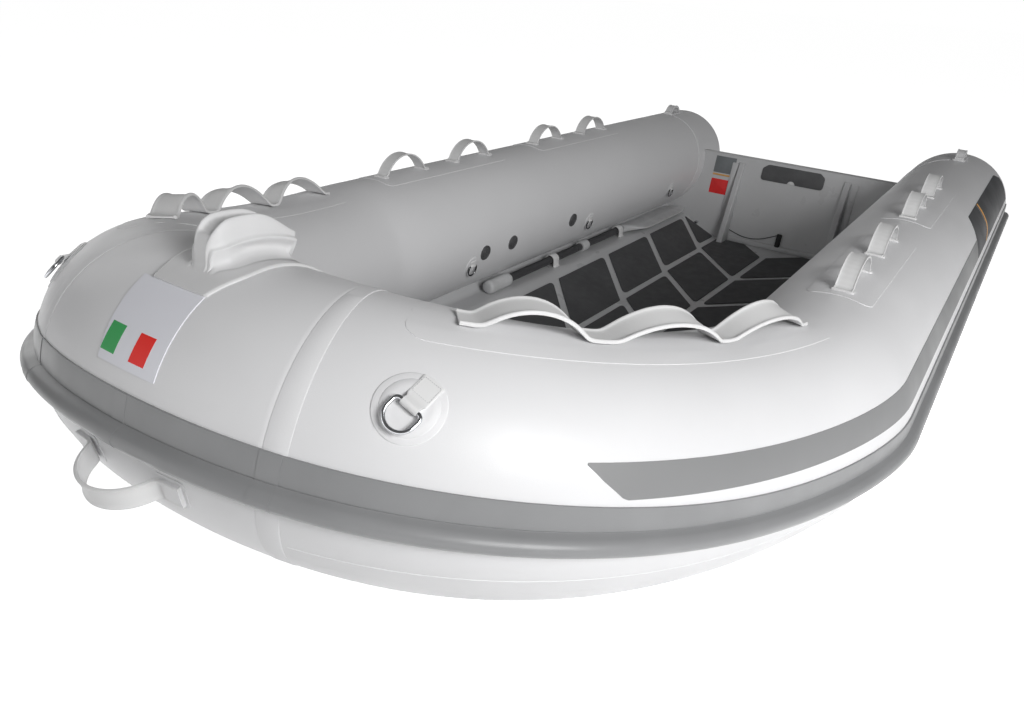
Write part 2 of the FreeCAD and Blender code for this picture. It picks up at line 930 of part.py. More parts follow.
def make_floor_pads():
    slab = make_deck_slab(0.0, pad_thickness)
    rib_space = rib_clearance()
    pads = []
    for corners in pad_outlines():
        prism = rounded_polygon_prism(corners, pad_corner_radius, -160.0, 120.0)
        pad = prism.common(slab)
        if prism.BoundBox.XMin < rib_space.BoundBox.XMax:
            pad = pad.cut(rib_space)
        pads.extend(pad.Solids)
    return compound_of(pads + [mirrored(pad) for pad in pads])


# Webbing


def local_placement(origin, along, normal_hint):
    """Placement with X along a direction and Z close to a hint."""
    x_axis = Vector(along).normalize()
    y_axis = normal_hint.cross(x_axis).normalize()
    z_axis = x_axis.cross(y_axis)
    return Placement(Matrix(
        x_axis.x, y_axis.x, z_axis.x, origin.x,
        x_axis.y, y_axis.y, z_axis.y, origin.y,
        x_axis.z, y_axis.z, z_axis.z, origin.z,
        0, 0, 0, 1,
    ))


def make_arch(first, last, angle, height, width, base, core):
    """Webbing arch between two distances, with its ends sunk to the tube."""
    start = tube_point(first, angle, tube_radius + base)
    finish = tube_point(last, angle, tube_radius + base)
    centre, travel, outward, upward = section_axes(0.5 * (first + last))
    lift = math.radians(angle)
    hint = outward * math.cos(lift) + upward * math.sin(lift)
    frame = local_placement((start + finish) * 0.5, start - finish, hint)
    outer = 0.5 * (start - finish).Length
    inner = outer - 1.2 * webbing_thickness
    sink = -2.2 * webbing_thickness
    side = -0.5 * width
    wire = Part.Wire([
        Part.Arc(Vector(outer, side, 0), Vector(0, side, height), Vector(-outer, side, 0)).toShape(),
        line_edge(Vector(-outer, side, 0), Vector(-outer, side, sink)),
        line_edge(Vector(-outer, side, sink), Vector(-inner, side, sink)),
        line_edge(Vector(-inner, side, sink), Vector(-inner, side, 0)),
        Part.Arc(
            Vector(-inner, side, 0), Vector(0, side, height - webbing_thickness), Vector(inner, side, 0)
        ).toShape(),
        line_edge(Vector(inner, side, 0), Vector(inner, side, sink)),
        line_edge(Vector(inner, side, sink), Vector(outer, side, sink)),
        line_edge(Vector(outer, side, sink), Vector(outer, side, 0)),
    ])
    arch = placed(Part.Face(wire).extrude(Vector(0, width, 0)), frame)
    return arch.cut(core)


def rounded_block(half_x, half_y, corner, low, high):
    block = Part.makeBox(2 * half_x, 2 * half_y, high - low, Vector(-half_x, -half_y, low))
    upright = [edge for edge in block.Edges if edge.BoundBox.ZLength > 0.9 * (high - low)]
    return block.makeFillet(corner, upright)


def make_patch(distance, angle, half_x, half_y, corner, skin):
    """Rounded area cut out of a skin on the tube."""
    block = rounded_block(half_x, half_y, corner, -70.0, 70.0)
    return skin.common(placed(block, surface_frame(distance, angle)))


def make_foot(first, last, angle, width, skin):
    """Flat webbing foot between two distances."""
    half = 0.5 * (last - first)
    return make_patch(0.5 * (first + last), angle, half, 0.5 * width, 3.0, skin)


def make_loop_pair(starts):
    """Two webbing loops on one patch."""
    first = starts[0] - loop_patch_margin
    last = starts[-1] + loop_length + loop_patch_margin
    core = tube_sweep(first - 20, last + 20, bonded_radius)
    patch_skin = tube_sweep(first - 20, last + 20, bonded_radius + patch_thickness).cut(core)
    foot_radius = bonded_radius + patch_thickness + 0.8 * webbing_thickness
    foot_skin = tube_sweep(first - 20, last + 20, foot_radius).cut(core)
    middle = 0.5 * (first + last)
    half = 0.5 * (last - first)
    pieces = [make_patch(middle, loop_angle, half, 0.5 * loop_patch_width, patch_corner, patch_skin)]
    for start in starts:
        end = start + loop_length
        pieces.append(make_arch(start, end, loop_angle, loop_height, loop_width, patch_thickness, core))
        pieces.append(make_foot(start - loop_foot, start + 7.0, loop_angle, loop_width, foot_skin))
        pieces.append(make_foot(end - 7.0, end + loop_foot, loop_angle, loop_width, foot_skin))
    return fused(pieces)


def make_flat_arch(first, last, angle, height, width, foot):
    """Webbing arch with flat feet that rest on the tube."""
    start = tube_point(first, angle, tube_radius)
    finish = tube_point(last, angle, tube_radius)
    centre, travel, outward, upward = section_axes(0.5 * (first + last))
    lift = math.radians(angle)
    hint = outward * math.cos(lift) + upward * math.sin(lift)
    frame = local_placement((start + finish) * 0.5, start - finish, hint)
    outer = 0.5 * (start - finish).Length
    inner = outer - 1.2 * webbing_thickness
    tip = outer + foot
    low = 0.15
    high = low + webbing_thickness
    side = -0.5 * width
    wire = Part.Wire([
        Part.Arc(Vector(outer, side, high), Vector(0, side, height), Vector(-outer, side, high)).toShape(),
        line_edge(Vector(-outer, side, high), Vector(-tip, side, high)),
        line_edge(Vector(-tip, side, high), Vector(-tip, side, low)),
        line_edge(Vector(-tip, side, low), Vector(-inner, side, low)),
        Part.Arc(
            Vector(-inner, side, low), Vector(0, side, height - webbing_thickness), Vector(inner, side, low)
        ).toShape(),
        line_edge(Vector(inner, side, low), Vector(tip, side, low)),
        line_edge(Vector(tip, side, low), Vector(tip, side, high)),
        line_edge(Vector(tip, side, high), Vector(outer, side, high)),
    ])
    return placed(Part.Face(wire).extrude(Vector(0, width, 0)), frame)


def make_grab_strap():
    """Three webbing arches in line along the forward quarter."""
    gaps = [after[0] - before[1] for before, after in zip(strap_arches[:-1], strap_arches[1:])]
    foot = min([strap_foot] + [0.5 * gap - 1.5 for gap in gaps])
    arches = []
    core = tube_sweep(strap_arches[0][0] - 60, strap_arches[-1][1] + 60, bonded_radius)
    for first, last in strap_arches:
        arch = make_flat_arch(first, last, strap_angle, strap_height, strap_width, foot)
        arches.append(arch.cut(core))
    return compound_of(arches)


def make_bow_handle():
    reach = bow_handle_half_span
    outer = reach + bow_handle_foot
    core = tube_sweep(-outer - 40, outer + 40, bonded_radius)
    patch_skin = tube_sweep(-outer - 40, outer + 40, bonded_radius + patch_thickness).cut(core)
    foot_radius = bonded_radius + patch_thickness + 0.8 * webbing_thickness
    foot_skin = tube_sweep(-outer - 40, outer + 40, foot_radius).cut(core)
    angle = bow_handle_angle
    pieces = [make_arch(-reach, reach, angle, bow_handle_height, bow_handle_width, patch_thickness, core)]
    half = 0.5 * (bow_handle_foot + 7.0)
    for side in (-1, 1):
        middle = side * (reach - 7.0 + half)
        pieces.append(make_patch(middle, angle, half, 0.5 * bow_handle_width, 3.0, foot_skin))
        pieces.append(make_patch(
            middle, angle, half + 5.0, 0.5 * bow_handle_width + 7.0, 10.0, patch_skin
        ))
    return fused(pieces)


def make_stern_handle():
    """Low trapezoid handle with a small opening at the aft end."""
    foot = 0.5 * stern_handle_length
    head = 0.52 * foot
    wall = 0.5 * (stern_handle_height - stern_handle_hole)
    low = -8.0
    side = -0.5 * stern_handle_width
    outline = [
        Vector(foot, side, low), Vector(foot, side, 3.0), Vector(head, side, stern_handle_height),
        Vector(-head, side, stern_handle_height), Vector(-foot, side, 3.0), Vector(-foot, side, low),
    ]
    body = Part.Face(Part.makePolygon(outline + outline[:1])).extrude(Vector(0, stern_handle_width, 0))
    hole_top = stern_handle_height - wall
    hole = [
        Vector(0.62 * foot, side, wall), Vector(0.36 * foot, side, hole_top),
        Vector(-0.36 * foot, side, hole_top), Vector(-0.62 * foot, side, wall),
    ]
    body = body.cut(Part.Face(Part.makePolygon(hole + hole[:1])).extrude(Vector(0, stern_handle_width, 0)))
    frame = surface_frame(stern_handle_distance, loop_angle)
    reach = stern_handle_length
    core = tube_sweep(stern_handle_distance - reach, stern_handle_distance + reach, bonded_radius)
    return placed(body, frame).cut(core)


# Bow chock and badge


def crest_point(angle, height):
    """Point over the bow tube on the middle plane."""
    return tube_point(0.0, angle, tube_radius + height)


def chock_profile(inset):
    """Side outline of the chock, moved inwards, on the middle plane."""
    top = chock_height - inset
    aft_angle = 90.0 + math.degrees(chock_aft / tube_radius)
    front_angle = 90.0 - math.degrees(chock_front / tube_radius)
    rim = [
        crest_point(front_angle - 1.0, -4.0),
        crest_point(front_angle + 1.5, 0.25 * top),
        crest_point(front_angle + 6.0, 0.62 * top),
        crest_point(front_angle + 13.0, 0.90 * top),
        crest_point(0.5 * (front_angle + aft_angle) + 1.0, top),
        crest_point(aft_angle - 9.0, 0.86 * top),
        crest_point(aft_angle - 3.0, 0.62 * top),
        crest_point(aft_angle, 0.40 * top),
    ]
    curve = Part.BSplineCurve()
    curve.interpolate(Points=rim)
    base = crest_point(aft_angle - 3.0, -6.0)
    return Part.Face(Part.Wire([
        curve.toShape(), line_edge(rim[-1], base), line_edge(base, rim[0]),
    ]))


def slice_of(face, half_width):
    """Solid from an outline on the middle plane, both ways in Y."""
    solid = face.extrude(Vector(0, 2 * half_width, 0))
    solid.translate(Vector(0, -half_width, 0))
    return solid


def make_bow_chock():
    body = slice_of(chock_profile(0.0), chock_half_width)
    recess_points = [
        crest_point(90.0 + math.degrees(chock_aft / tube_radius) + 12.0, 0.36 * chock_height),
        crest_point(92.0, 0.46 * chock_height),
        crest_point(90.0 - math.degrees(0.4 * chock_front / tube_radius), 0.36 * chock_height),
        crest_point(90.0 - math.degrees(0.72 * chock_front / tube_radius), 0.02 * chock_height),
        crest_point(100.0, -30.0),
        crest_point(90.0 + math.degrees(chock_aft / tube_radius) + 12.0, -30.0),
    ]
    recess = Part.Face(Part.makePolygon(recess_points + recess_points[:1]))
    flank = recess.extrude(Vector(0, chock_half_width, 0))
    flank.translate(Vector(0, chock_web_half_width, 0))
    body = body.cut(flank).cut(mirrored(flank))
    groove = slice_of(chock_profile(-20.0), groove_half_width).cut(
        slice_of(chock_profile(groove_depth), 2 * groove_half_width)
    )
    body = body.cut(groove)
    body = body.cut(tube_sweep(-120, 120, tube_radius + 0.5 * skirt_thickness))
    middle_angle = 0.5 * (skirt_front_angle + skirt_aft_angle)
    half_arc = math.radians(0.5 * (skirt_aft_angle - skirt_front_angle))
    half_length = tube_radius * math.sin(half_arc)
    block = placed(
        rounded_block(skirt_half_width, half_length, skirt_corner, -90.0, 90.0),
        surface_frame(0.0, middle_angle),
    )
    skirt = tube_skin(-150, 150, skirt_thickness).common(block)
    return body.fuse(skirt)


def make_badge_area(low_distance, high_distance, low_angle, high_angle, base, thickness):
    """Plate that follows the bow tube."""
    bottom = bonded_radius + base
    top = bottom + thickness
    sections = []
    for distance in span(low_distance, high_distance, 3):
        sections.append(Part.Wire([
            arc_edge(distance, low_angle, high_angle, bottom),
            line_edge(tube_point(distance, high_angle, bottom), tube_point(distance, high_angle, top)),
            arc_edge(distance, high_angle, low_angle, top),
            line_edge(tube_point(distance, low_angle, top), tube_point(distance, low_angle, bottom)),
        ]))
    return loft(sections)


def make_bow_badge():
    return make_badge_area(
        -badge_half_width, badge_half_width, badge_bottom_angle, badge_top_angle, 0.0, badge_thickness
    )


def make_colour_block(side):
    near = side * colour_block_inner
    far = side * (colour_block_inner + colour_block_width)
    return make_badge_area(
        min(near, far), max(near, far), colour_block_bottom_angle, colour_block_top_angle,
        badge_thickness, colour_block_thickness,
    )


# Towing rings


def tow_frame():
    return surface_frame(tow_distance, tow_angle, tow_turn)


def make_tow_patch():
    frame = tow_frame()
    reach = tow_patch_radius + 60.0
    first = tow_distance - reach
    last = tow_distance + reach
    pieces = []
    for radius, thickness in ((tow_patch_radius, patch_thickness), (tow_boss_radius, tow_boss_thickness)):
        disc = placed(Part.makeCylinder(radius, 120, Vector(0, 0, -60)), frame)
        pieces.append(tube_skin(first, last, thickness).common(disc))
    tab_front = -(tow_ring_corner + tow_wire_radius + 1.5)
    tab_box = Part.makeBox(
        tow_tab_length, tow_tab_width, 120, Vector(tab_front - tow_tab_length, -0.5 * tow_tab_width, -60)
    )
    tab_skin = tube_skin(first, last, tow_boss_thickness + tow_tab_thickness)
    pieces.append(tab_skin.common(placed(tab_box, frame)))
    half_sleeve = tow_ring_half_width - tow_ring_corner - 1.0
    web = Part.makeBox(
        -tab_front + 2.0, 2 * half_sleeve, tow_axis_height - 2.6, Vector(tab_front - 2.0, -half_sleeve, 1.2)
    )
    sleeve_radius = tow_wire_radius + tow_bore_clearance + 2.0
    sleeve = Part.makeCylinder(
        sleeve_radius, 2 * half_sleeve, Vector(0, -half_sleeve, tow_axis_height), Vector(0, 1, 0)
    )
    bore = Part.makeCylinder(
        tow_wire_radius + tow_bore_clearance, 4 * half_sleeve,
        Vector(0, -2 * half_sleeve, tow_axis_height), Vector(0, 1, 0),
    )
    pieces.append(placed(web.fuse(sleeve).cut(bore), frame))
    return fused(pieces)


def d_ring(half_width, side, corner, wire_radius):
    """D ring in its own frame: bar along Y through the origin, bow towards +X."""
    inner = half_width - corner
    quarter = corner * (1.0 - math.sqrt(0.5))
    far = corner + side
    edges = [
        line_edge(Vector(0, -inner, 0), Vector(0, inner, 0)),
        Part.Arc(
            Vector(0, inner, 0), Vector(quarter, half_width - quarter, 0), Vector(corner, half_width, 0)
        ).toShape(),
        line_edge(Vector(corner, half_width, 0), Vector(far, half_width, 0)),
        Part.Arc(
            Vector(far, half_width, 0), Vector(far + half_width, 0, 0), Vector(far, -half_width, 0)
        ).toShape(),
        line_edge(Vector(far, -half_width, 0), Vector(corner, -half_width, 0)),
        Part.Arc(
            Vector(corner, -half_width, 0), Vector(quarter, quarter - half_width, 0), Vector(0, -inner, 0)
        ).toShape(),
    ]
    circle = Part.makeCircle(wire_radius, Vector(0, -inner, 0), Vector(0, 1, 0))
    return Part.Wire(edges).makePipeShell([Part.Wire([circle])], True, False)


def make_tow_ring():
    ring = d_ring(tow_ring_half_width, tow_ring_side, tow_ring_corner, tow_wire_radius)
    return placed(ring, tow_frame().multiply(Placement(Vector(0, 0, tow_axis_height), Rotation())))


# Inner lashing rings and valves


def lashing_frame(distance):
    return surface_frame(distance, lashing_angle, 90.0)


def make_lashing_ring(distance):
    side = lashing_ring_length - lashing_ring_half_width - 3.0
    ring = d_ring(lashing_ring_half_width, max(2.0, side), 3.0, lashing_wire_radius)
    tilt = Placement(Vector(0, 0, 5.0), Rotation(Vector(0, 1, 0), -6.0))
    return placed(ring, lashing_frame(distance).multiply(tilt))


def make_lashing_tab(distance):
    frame = lashing_frame(distance)
    disc = placed(Part.makeCylinder(lashing_patch_radius, 80, Vector(0, 0, -40)), frame)
    patch = tube_skin(distance - 60, distance + 60, patch_thickness).common(disc)
    block = Part.makeBox(20, 2 * (lashing_ring_half_width - 4.5), 8.0, Vector(-15, 4.5 - lashing_ring_half_width, 0.4))
    return patch.fuse(placed(block, frame)).cut(make_lashing_ring(distance))


def make_valve(distance):
    frame = surface_frame(distance, valve_angle)
    flange = Part.makeCylinder(valve_radius, valve_height + 4.0, Vector(0, 0, -4))
    flange = flange.makeFillet(1.0, [flange.Edges[0]])
    cap = Part.makeCylinder(valve_cap_radius, valve_cap_height + 2.0, Vector(0, 0, -2))
    body = placed(flange.fuse(cap), frame)
    return body.cut(tube_sweep(distance - 60, distance + 60, bonded_radius))


# Oars


def make_oar():
    axis_z = deck_ledge_height + oar_grip_radius
    grip = Part.makeCylinder(
        oar_grip_radius, oar_grip_front_x - oar_grip_back_x, Vector(oar_grip_back_x, oar_y, axis_z), Vector(1, 0, 0)
    )
    grip = grip.makeFillet(0.35 * oar_grip_radius, [edge for edge in grip.Edges if edge.isClosed()])
    shaft = Part.makeCylinder(
        oar_shaft_radius, oar_grip_back_x - blade_front_x + 60.0,
        Vector(blade_front_x - 50.0, oar_y, axis_z), Vector(1, 0, 0),
    )
    collar = Part.makeCylinder(
        oar_collar_radius, oar_collar_length, Vector(oar_collar_x - 0.5 * oar_collar_length, oar_y, axis_z),
        Vector(1, 0, 0),
    )
    collar = collar.makeFillet(3.0, [edge for edge in collar.Edges if edge.isClosed()])
    blade_y = oar_y + blade_y_shift
    corners = [
        (blade_front_x, oar_y - 0.9 * oar_shaft_radius),
        (blade_front_x, oar_y + 0.9 * oar_shaft_radius),
        (blade_front_x - 110.0, blade_y + 0.94 * blade_half_width),
        (blade_back_x + 90.0, blade_y + blade_half_width),
        (blade_back_x, blade_y + 0.72 * blade_half_width),
        (blade_back_x, blade_y - 0.72 * blade_half_width),
        (blade_back_x + 90.0, blade_y - blade_half_width),
        (blade_front_x - 110.0, blade_y - 0.94 * blade_half_width),
    ]
    low = axis_z - 0.5 * blade_thickness
    blade = rounded_polygon_prism(corners, 8.0, low, low + blade_thickness)
    rim = [edge for edge in blade.Edges if edge.BoundBox.ZLength < 0.1]
    blade = blade.makeFillet(0.36 * blade_thickness, rim)
    return fused([shaft, grip, collar, blade])


def make_oar_strap(x):
    """Webbing band over the shaft with both feet on the ledge."""
    axis_z = deck_ledge_height + oar_grip_radius
    inner = oar_shaft_radius
    outer = inner + oar_strap_thickness
    low = deck_ledge_height
    lift = low + oar_strap_thickness
    foot = outer + oar_strap_foot
    first = x - 0.5 * oar_strap_width
    wire = Part.Wire([
        line_edge(Vector(first, oar_y - foot, low), Vector(first, oar_y - inner, low)),
        line_edge(Vector(first, oar_y - inner, low), Vector(first, oar_y - inner, axis_z)),
        Part.Arc(
            Vector(first, oar_y - inner, axis_z), Vector(first, oar_y, axis_z + inner),
            Vector(first, oar_y + inner, axis_z),
        ).toShape(),
        line_edge(Vector(first, oar_y + inner, axis_z), Vector(first, oar_y + inner, low)),
        line_edge(Vector(first, oar_y + inner, low), Vector(first, oar_y + foot, low)),
        line_edge(Vector(first, oar_y + foot, low), Vector(first, oar_y + foot, lift)),
        line_edge(Vector(first, oar_y + foot, lift), Vector(first, oar_y + outer, lift)),
        line_edge(Vector(first, oar_y + outer, lift), Vector(first, oar_y + outer, axis_z)),
        Part.Arc(
            Vector(first, oar_y + outer, axis_z), Vector(first, oar_y, axis_z + outer),
            Vector(first, oar_y - outer, axis_z),
        ).toShape(),
        line_edge(Vector(first, oar_y - outer, axis_z), Vector(first, oar_y - outer, lift)),
        line_edge(Vector(first, oar_y - outer, lift), Vector(first, oar_y - foot, lift)),
        line_edge(Vector(first, oar_y - foot, lift), Vector(first, oar_y - foot, low)),
    ])
    return Part.Face(wire).extrude(Vector(oar_strap_width, 0, 0))


# Towing eye and stern fittings


def stem_point(x):
    share = rise_share(x, hull_rise_start_x, hull_rise_power)
    return Vector(x, 0, keel_height + (stem_height - keel_height) * share - keel_strip_depth)


def make_bow_eye():
    """Steel U through the stem, its plane on the middle of the boat."""
    along = (stem_point(bow_eye_x + 10.0) - stem_point(bow_eye_x - 10.0)).normalize()
    outward = Vector(along.z, 0, -along.x)
    centre = stem_point(bow_eye_x)
    half = bow_eye_half_width
    sink = outward * -22.0
    top = outward * (bow_eye_reach - half)
    crown = outward * bow_eye_reach
    edges = [
        line_edge(centre + along * half + sink, centre + along * half + top),
        Part.Arc(centre + along * half + top, centre + crown, centre - along * half + top).toShape(),
        line_edge(centre - along * half + top, centre - along * half + sink),
    ]
    circle = Part.makeCircle(bow_eye_wire_radius, centre + along * half + sink, outward)
    return Part.Wire(edges).makePipeShell([Part.Wire([circle])], True, False)


def make_corner_fitting():
    """Small fitting on the sloping side of the deck beside the transom."""
    points = deck_half_points(corner_fitting_x, 0.0)
    slope = (points[2].z - points[1].z) / (points[2].y - points[1].y)
    height = points[1].z + slope * (corner_fitting_y - points[1].y)
    block = Part.makeBox(
        corner_fitting_length, corner_fitting_width, corner_fitting_height,
        Vector(0, -0.5 * corner_fitting_width, 0),
    )
    top = [edge for edge in block.Edges if edge.BoundBox.ZMin > corner_fitting_height - 0.1]
    block = block.makeFillet(3.0, top)
    tilt = Rotation(Vector(1, 0, 0), math.degrees(math.atan(slope)))
    return placed(block, Placement(Vector(corner_fitting_x, corner_fitting_y, height), tilt))


# Build every piece

os.makedirs("parts", exist_ok=True)

tube_bow = make_tube_bow()
tube_quarter = make_tube_quarter()
tube_side = make_tube_side()
bow_eye = make_bow_eye()

seat = make_tube_seat()
hull = make_hull_block().common(raked_slab(0.0, 4000.0)).cut(bow_eye)
hull = cut_by_all(hull, seat)
deck = make_deck_slab(-deck_thickness, 0.0).common(raked_slab(0.0, 4000.0)).cut(bow_eye)
deck = cut_by_all(deck, seat)
deck_space = make_deck_slab(-2.0 * deck_thickness, bond_gap)
transom = make_transom().cut(tube_side).cut(mirrored(tube_side))

save("tube_bow", tube_bow)
save("quarter_tube_port", tube_quarter)
save("quarter_tube_starboard", mirrored(tube_quarter))
save("side_tube_port", tube_side)
save("side_tube_starboard", mirrored(tube_side))

strake_bow = make_strake_bow()
strake_side = make_strake_side()
seam_band = make_seam_band().cut(strake_bow).cut(strake_side).cut(deck_space)
save("seam_bands", compound_of([seam_band, mirrored(seam_band)]))
save("rub_strake_bow", strake_bow)
save("rub_strake_port", strake_side)
save("rub_strake_starboard", mirrored(strake_side))
stripe = make_stripe()
save("side_stripe_port", stripe)
save("side_stripe_starboard", mirrored(stripe))
panel = make_aft_panel()
save("aft_panel_port", panel)
save("aft_panel_starboard", mirrored(panel))

save("hull", hull)
save("deck", deck)
save("floor_pads", make_floor_pads())
save("transom", transom)
rib = make_rib().cut(deck_space)
save("transom_ribs", compound_of([rib, mirrored(rib)]))
save("motor_pad_inner", make_motor_pad_inner())
save("motor_pad_outer", make_motor_pad_outer())
save("transom_labels", make_labels())
save("drain_plug", make_drain_plug())
save("drain_lanyard", make_cord(lanyard_points(), lanyard_radius))

save("bow_chock", make_bow_chock())
save("bow_badge", make_bow_badge())
save("badge_blocks", compound_of([make_colour_block(-1), make_colour_block(1)]))
save("bow_handle", make_bow_handle())
strap = make_grab_strap()
save("grab_strap_port", strap)
save("grab_strap_starboard", mirrored(strap))
loops = compound_of([make_loop_pair(loop_first_starts), make_loop_pair(loop_second_starts)])
save("loops_port", loops)
save("loops_starboard", mirrored(loops))
stern_handle = make_stern_handle()
save("stern_handles", compound_of([stern_handle, mirrored(stern_handle)]))

tow_patch = make_tow_patch()
tow_ring = make_tow_ring()
save("tow_patch_port", tow_patch)
save("tow_patch_starboard", mirrored(tow_patch))
save("tow_ring_port", tow_ring)
save("tow_ring_starboard", mirrored(tow_ring))

tabs = [make_lashing_tab(distance) for distance in lashing_distances]
rings = [make_lashing_ring(distance) for distance in lashing_distances]
valves = [make_valve(distance) for distance in valve_distances]
save("lashing_tabs", compound_of(tabs + [mirrored(tab) for tab in tabs]))
save("lashing_rings", compound_of(rings + [mirrored(ring) for ring in rings]))
save("valves", compound_of(valves + [mirrored(valve) for valve in valves]))

oar = make_oar()
save("oar_port", oar)
save("oar_starboard", mirrored(oar))
oar_straps = [make_oar_strap(x) for x in oar_strap_xs]
save("oar_straps", compound_of(oar_straps + [mirrored(band) for band in oar_straps]))
save("bow_eye", bow_eye)
fitting = make_corner_fitting().cut(deck_space)
save("corner_fittings", compound_of([fitting, mirrored(fitting)]))
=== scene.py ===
import math

import bmesh
import bpy
from mathutils import Matrix, Vector


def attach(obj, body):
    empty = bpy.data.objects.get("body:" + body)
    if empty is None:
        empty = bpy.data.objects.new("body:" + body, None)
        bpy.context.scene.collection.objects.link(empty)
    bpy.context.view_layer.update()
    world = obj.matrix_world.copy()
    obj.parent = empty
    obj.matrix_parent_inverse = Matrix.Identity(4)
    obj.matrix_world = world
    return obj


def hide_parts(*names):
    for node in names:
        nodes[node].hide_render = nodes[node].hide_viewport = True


# Inflatable tender with a rigid hull, dressed over its CAD frame.
# Frame: +X to the bow, +Y to port, +Z up, metres, origin on the waterline.

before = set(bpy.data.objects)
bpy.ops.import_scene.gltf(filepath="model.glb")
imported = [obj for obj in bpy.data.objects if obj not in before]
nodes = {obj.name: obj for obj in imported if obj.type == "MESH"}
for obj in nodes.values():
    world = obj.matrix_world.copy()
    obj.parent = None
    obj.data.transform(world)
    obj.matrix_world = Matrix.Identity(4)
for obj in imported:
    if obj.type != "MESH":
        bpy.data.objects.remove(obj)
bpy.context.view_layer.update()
BOAT = "boat"

# Air tubes
TUBE_RADIUS = 0.215
TUBE_HEIGHT = 0.222
HALF_BEAM = 0.679
STERN_HALF_BEAM = 0.647
SHOULDER_X = 0.689
BOW_X = 1.639
TUBE_END_X = -1.695
SHEER_RISE = 0.171
SHEER_POWER = 2.03
CONE_LENGTH = 0.165
CONE_RADIUS = 0.095
CONE_ROUND = 0.070
DISC_ROUND = 0.024
TRANSOM_TOP_X, TRANSOM_RAKE, TRANSOM_TOP = -1.493, 0.223, 0.294
SIDE_SLOPE = (HALF_BEAM - STERN_HALF_BEAM) / (SHOULDER_X - TUBE_END_X)
BOW_POLES = [
    Vector((BOW_X, 0, 0)),
    Vector((BOW_X, 0.464, 0)),
    Vector((1.319, 0.501, 0)),
    Vector((SHOULDER_X + 0.185, HALF_BEAM + SIDE_SLOPE * 0.185, 0)),
    Vector((SHOULDER_X, HALF_BEAM, 0)),
]
BOW_STEPS = 400
SEAM = 0.201
SEAM_HALF, SEAM_RISE, SEAM_SIDES = 0.012, 0.0009, 180


def span(first, last, count):
    return [first + (last - first) * i / (count - 1) for i in range(count)]


def looped(items):
    """Each item with the next one, the last with the first."""
    return zip(items, items[1:] + items[:1])


def smooth(value):
    """Ease from 0 to 1."""
    value = min(1.0, max(0.0, value))
    return value * value * (3.0 - 2.0 * value)


def bow_plan(share):
    rest = 1.0 - share
    weights = [rest**4, 4 * share * rest**3, 6 * share**2 * rest**2, 4 * share**3 * rest, share**4]
    point = Vector((0, 0, 0))
    for weight, pole in zip(weights, BOW_POLES):
        point = point + pole * weight
    return point


def sheer(x):
    rise = max(0.0, (x - SHOULDER_X) / (BOW_X - SHOULDER_X))
    return TUBE_HEIGHT + SHEER_RISE * rise**SHEER_POWER


bow_shares = span(0.0, 1.0, BOW_STEPS + 1)
bow_points = []
for bow_share in bow_shares:
    bow_spot = bow_plan(bow_share)
    bow_points.append(Vector((bow_spot.x, bow_spot.y, sheer(bow_spot.x))))
bow_runs = [0.0]
for before, after in zip(bow_points[:-1], bow_points[1:]):
    bow_runs.append(bow_runs[-1] + (after - before).length)
SHOULDER = bow_runs[-1]
straight_line = Vector((TUBE_END_X - SHOULDER_X, STERN_HALF_BEAM - HALF_BEAM, 0))
END = SHOULDER + straight_line.length
straight = straight_line.normalized()


def centre_point(run):
    """Tube centre at a distance along the tube from the bow, negative on the starboard side."""
    along = abs(run)
    if along >= SHOULDER:
        point = bow_points[-1] + straight * (along - SHOULDER)
    else:
        low, high = 0, BOW_STEPS
        while high - low > 1:
            middle = (low + high) // 2
            if bow_runs[middle] <= along:
                low = middle
            else:
                high = middle
        part = (along - bow_runs[low]) / (bow_runs[high] - bow_runs[low])
        plan = bow_plan(bow_shares[low] + part * (bow_shares[high] - bow_shares[low]))
        point = Vector((plan.x, plan.y, sheer(plan.x)))
    if run < 0:
        point = Vector((point.x, -point.y, point.z))
    return point


def section_axes(run):
    """Centre, travel, outward and upward directions of the tube section."""
    step = 0.002
    if run >= SHOULDER:
        travel = straight.copy()
    elif run <= -SHOULDER:
        travel = Vector((-straight.x, straight.y, 0))
    else:
        travel = (centre_point(run + step) - centre_point(run - step)).normalized()
    outward = travel.cross(Vector((0, 0, 1))).normalized()
    upward = outward.cross(travel).normalized()
    return centre_point(run), travel, outward, upward


def tube_point(run, angle, radius):
    """Point at an angle up from the outward horizontal and a radius from the tube centre."""
    centre, _, outward, upward = section_axes(run)
    turn = math.radians(angle)
    return centre + outward * (radius * math.cos(turn)) + upward * (radius * math.sin(turn))


def tube_normal(run, angle):
    _, _, outward, upward = section_axes(run)
    turn = math.radians(angle)
    return outward * math.cos(turn) + upward * math.sin(turn)


def surface_point(run, angle, along, down, height, turn=0.0):
    """Point over the tube, offset along the surface from a spot, forward and down, turned about it."""
    c, s = math.cos(math.radians(turn)), math.sin(math.radians(turn))
    forward = along * c - down * s
    place = angle - math.degrees((along * s + down * c) / TUBE_RADIUS)
    gauge = tube_point(run + 0.01, place, TUBE_RADIUS) - tube_point(run - 0.01, place, TUBE_RADIUS)
    return tube_point(run - forward * 0.02 / gauge.length, place, TUBE_RADIUS + height)


def surface_frame(run, angle, turn=0.0, height=0.0):
    """Matrix on the tube surface: Z out of the tube, X forward, turned about Z."""
    centre, travel = section_axes(run)[:2]
    normal = tube_normal(run, angle)
    forward = -travel
    across = normal.cross(forward)
    spot = centre + normal * (TUBE_RADIUS + height)
    base = Matrix((
        (forward.x, across.x, normal.x, spot.x),
        (forward.y, across.y, normal.y, spot.y),
        (forward.z, across.z, normal.z, spot.z),
        (0, 0, 0, 1),
    ))
    return base @ Matrix.Rotation(math.radians(turn), 4, "Z")


# Mesh helpers


def circle(radius, count):
    """Points round a circle as pairs."""
    turns = [2 * math.pi * k / count for k in range(count)]
    return [(radius * math.cos(turn), radius * math.sin(turn)) for turn in turns]


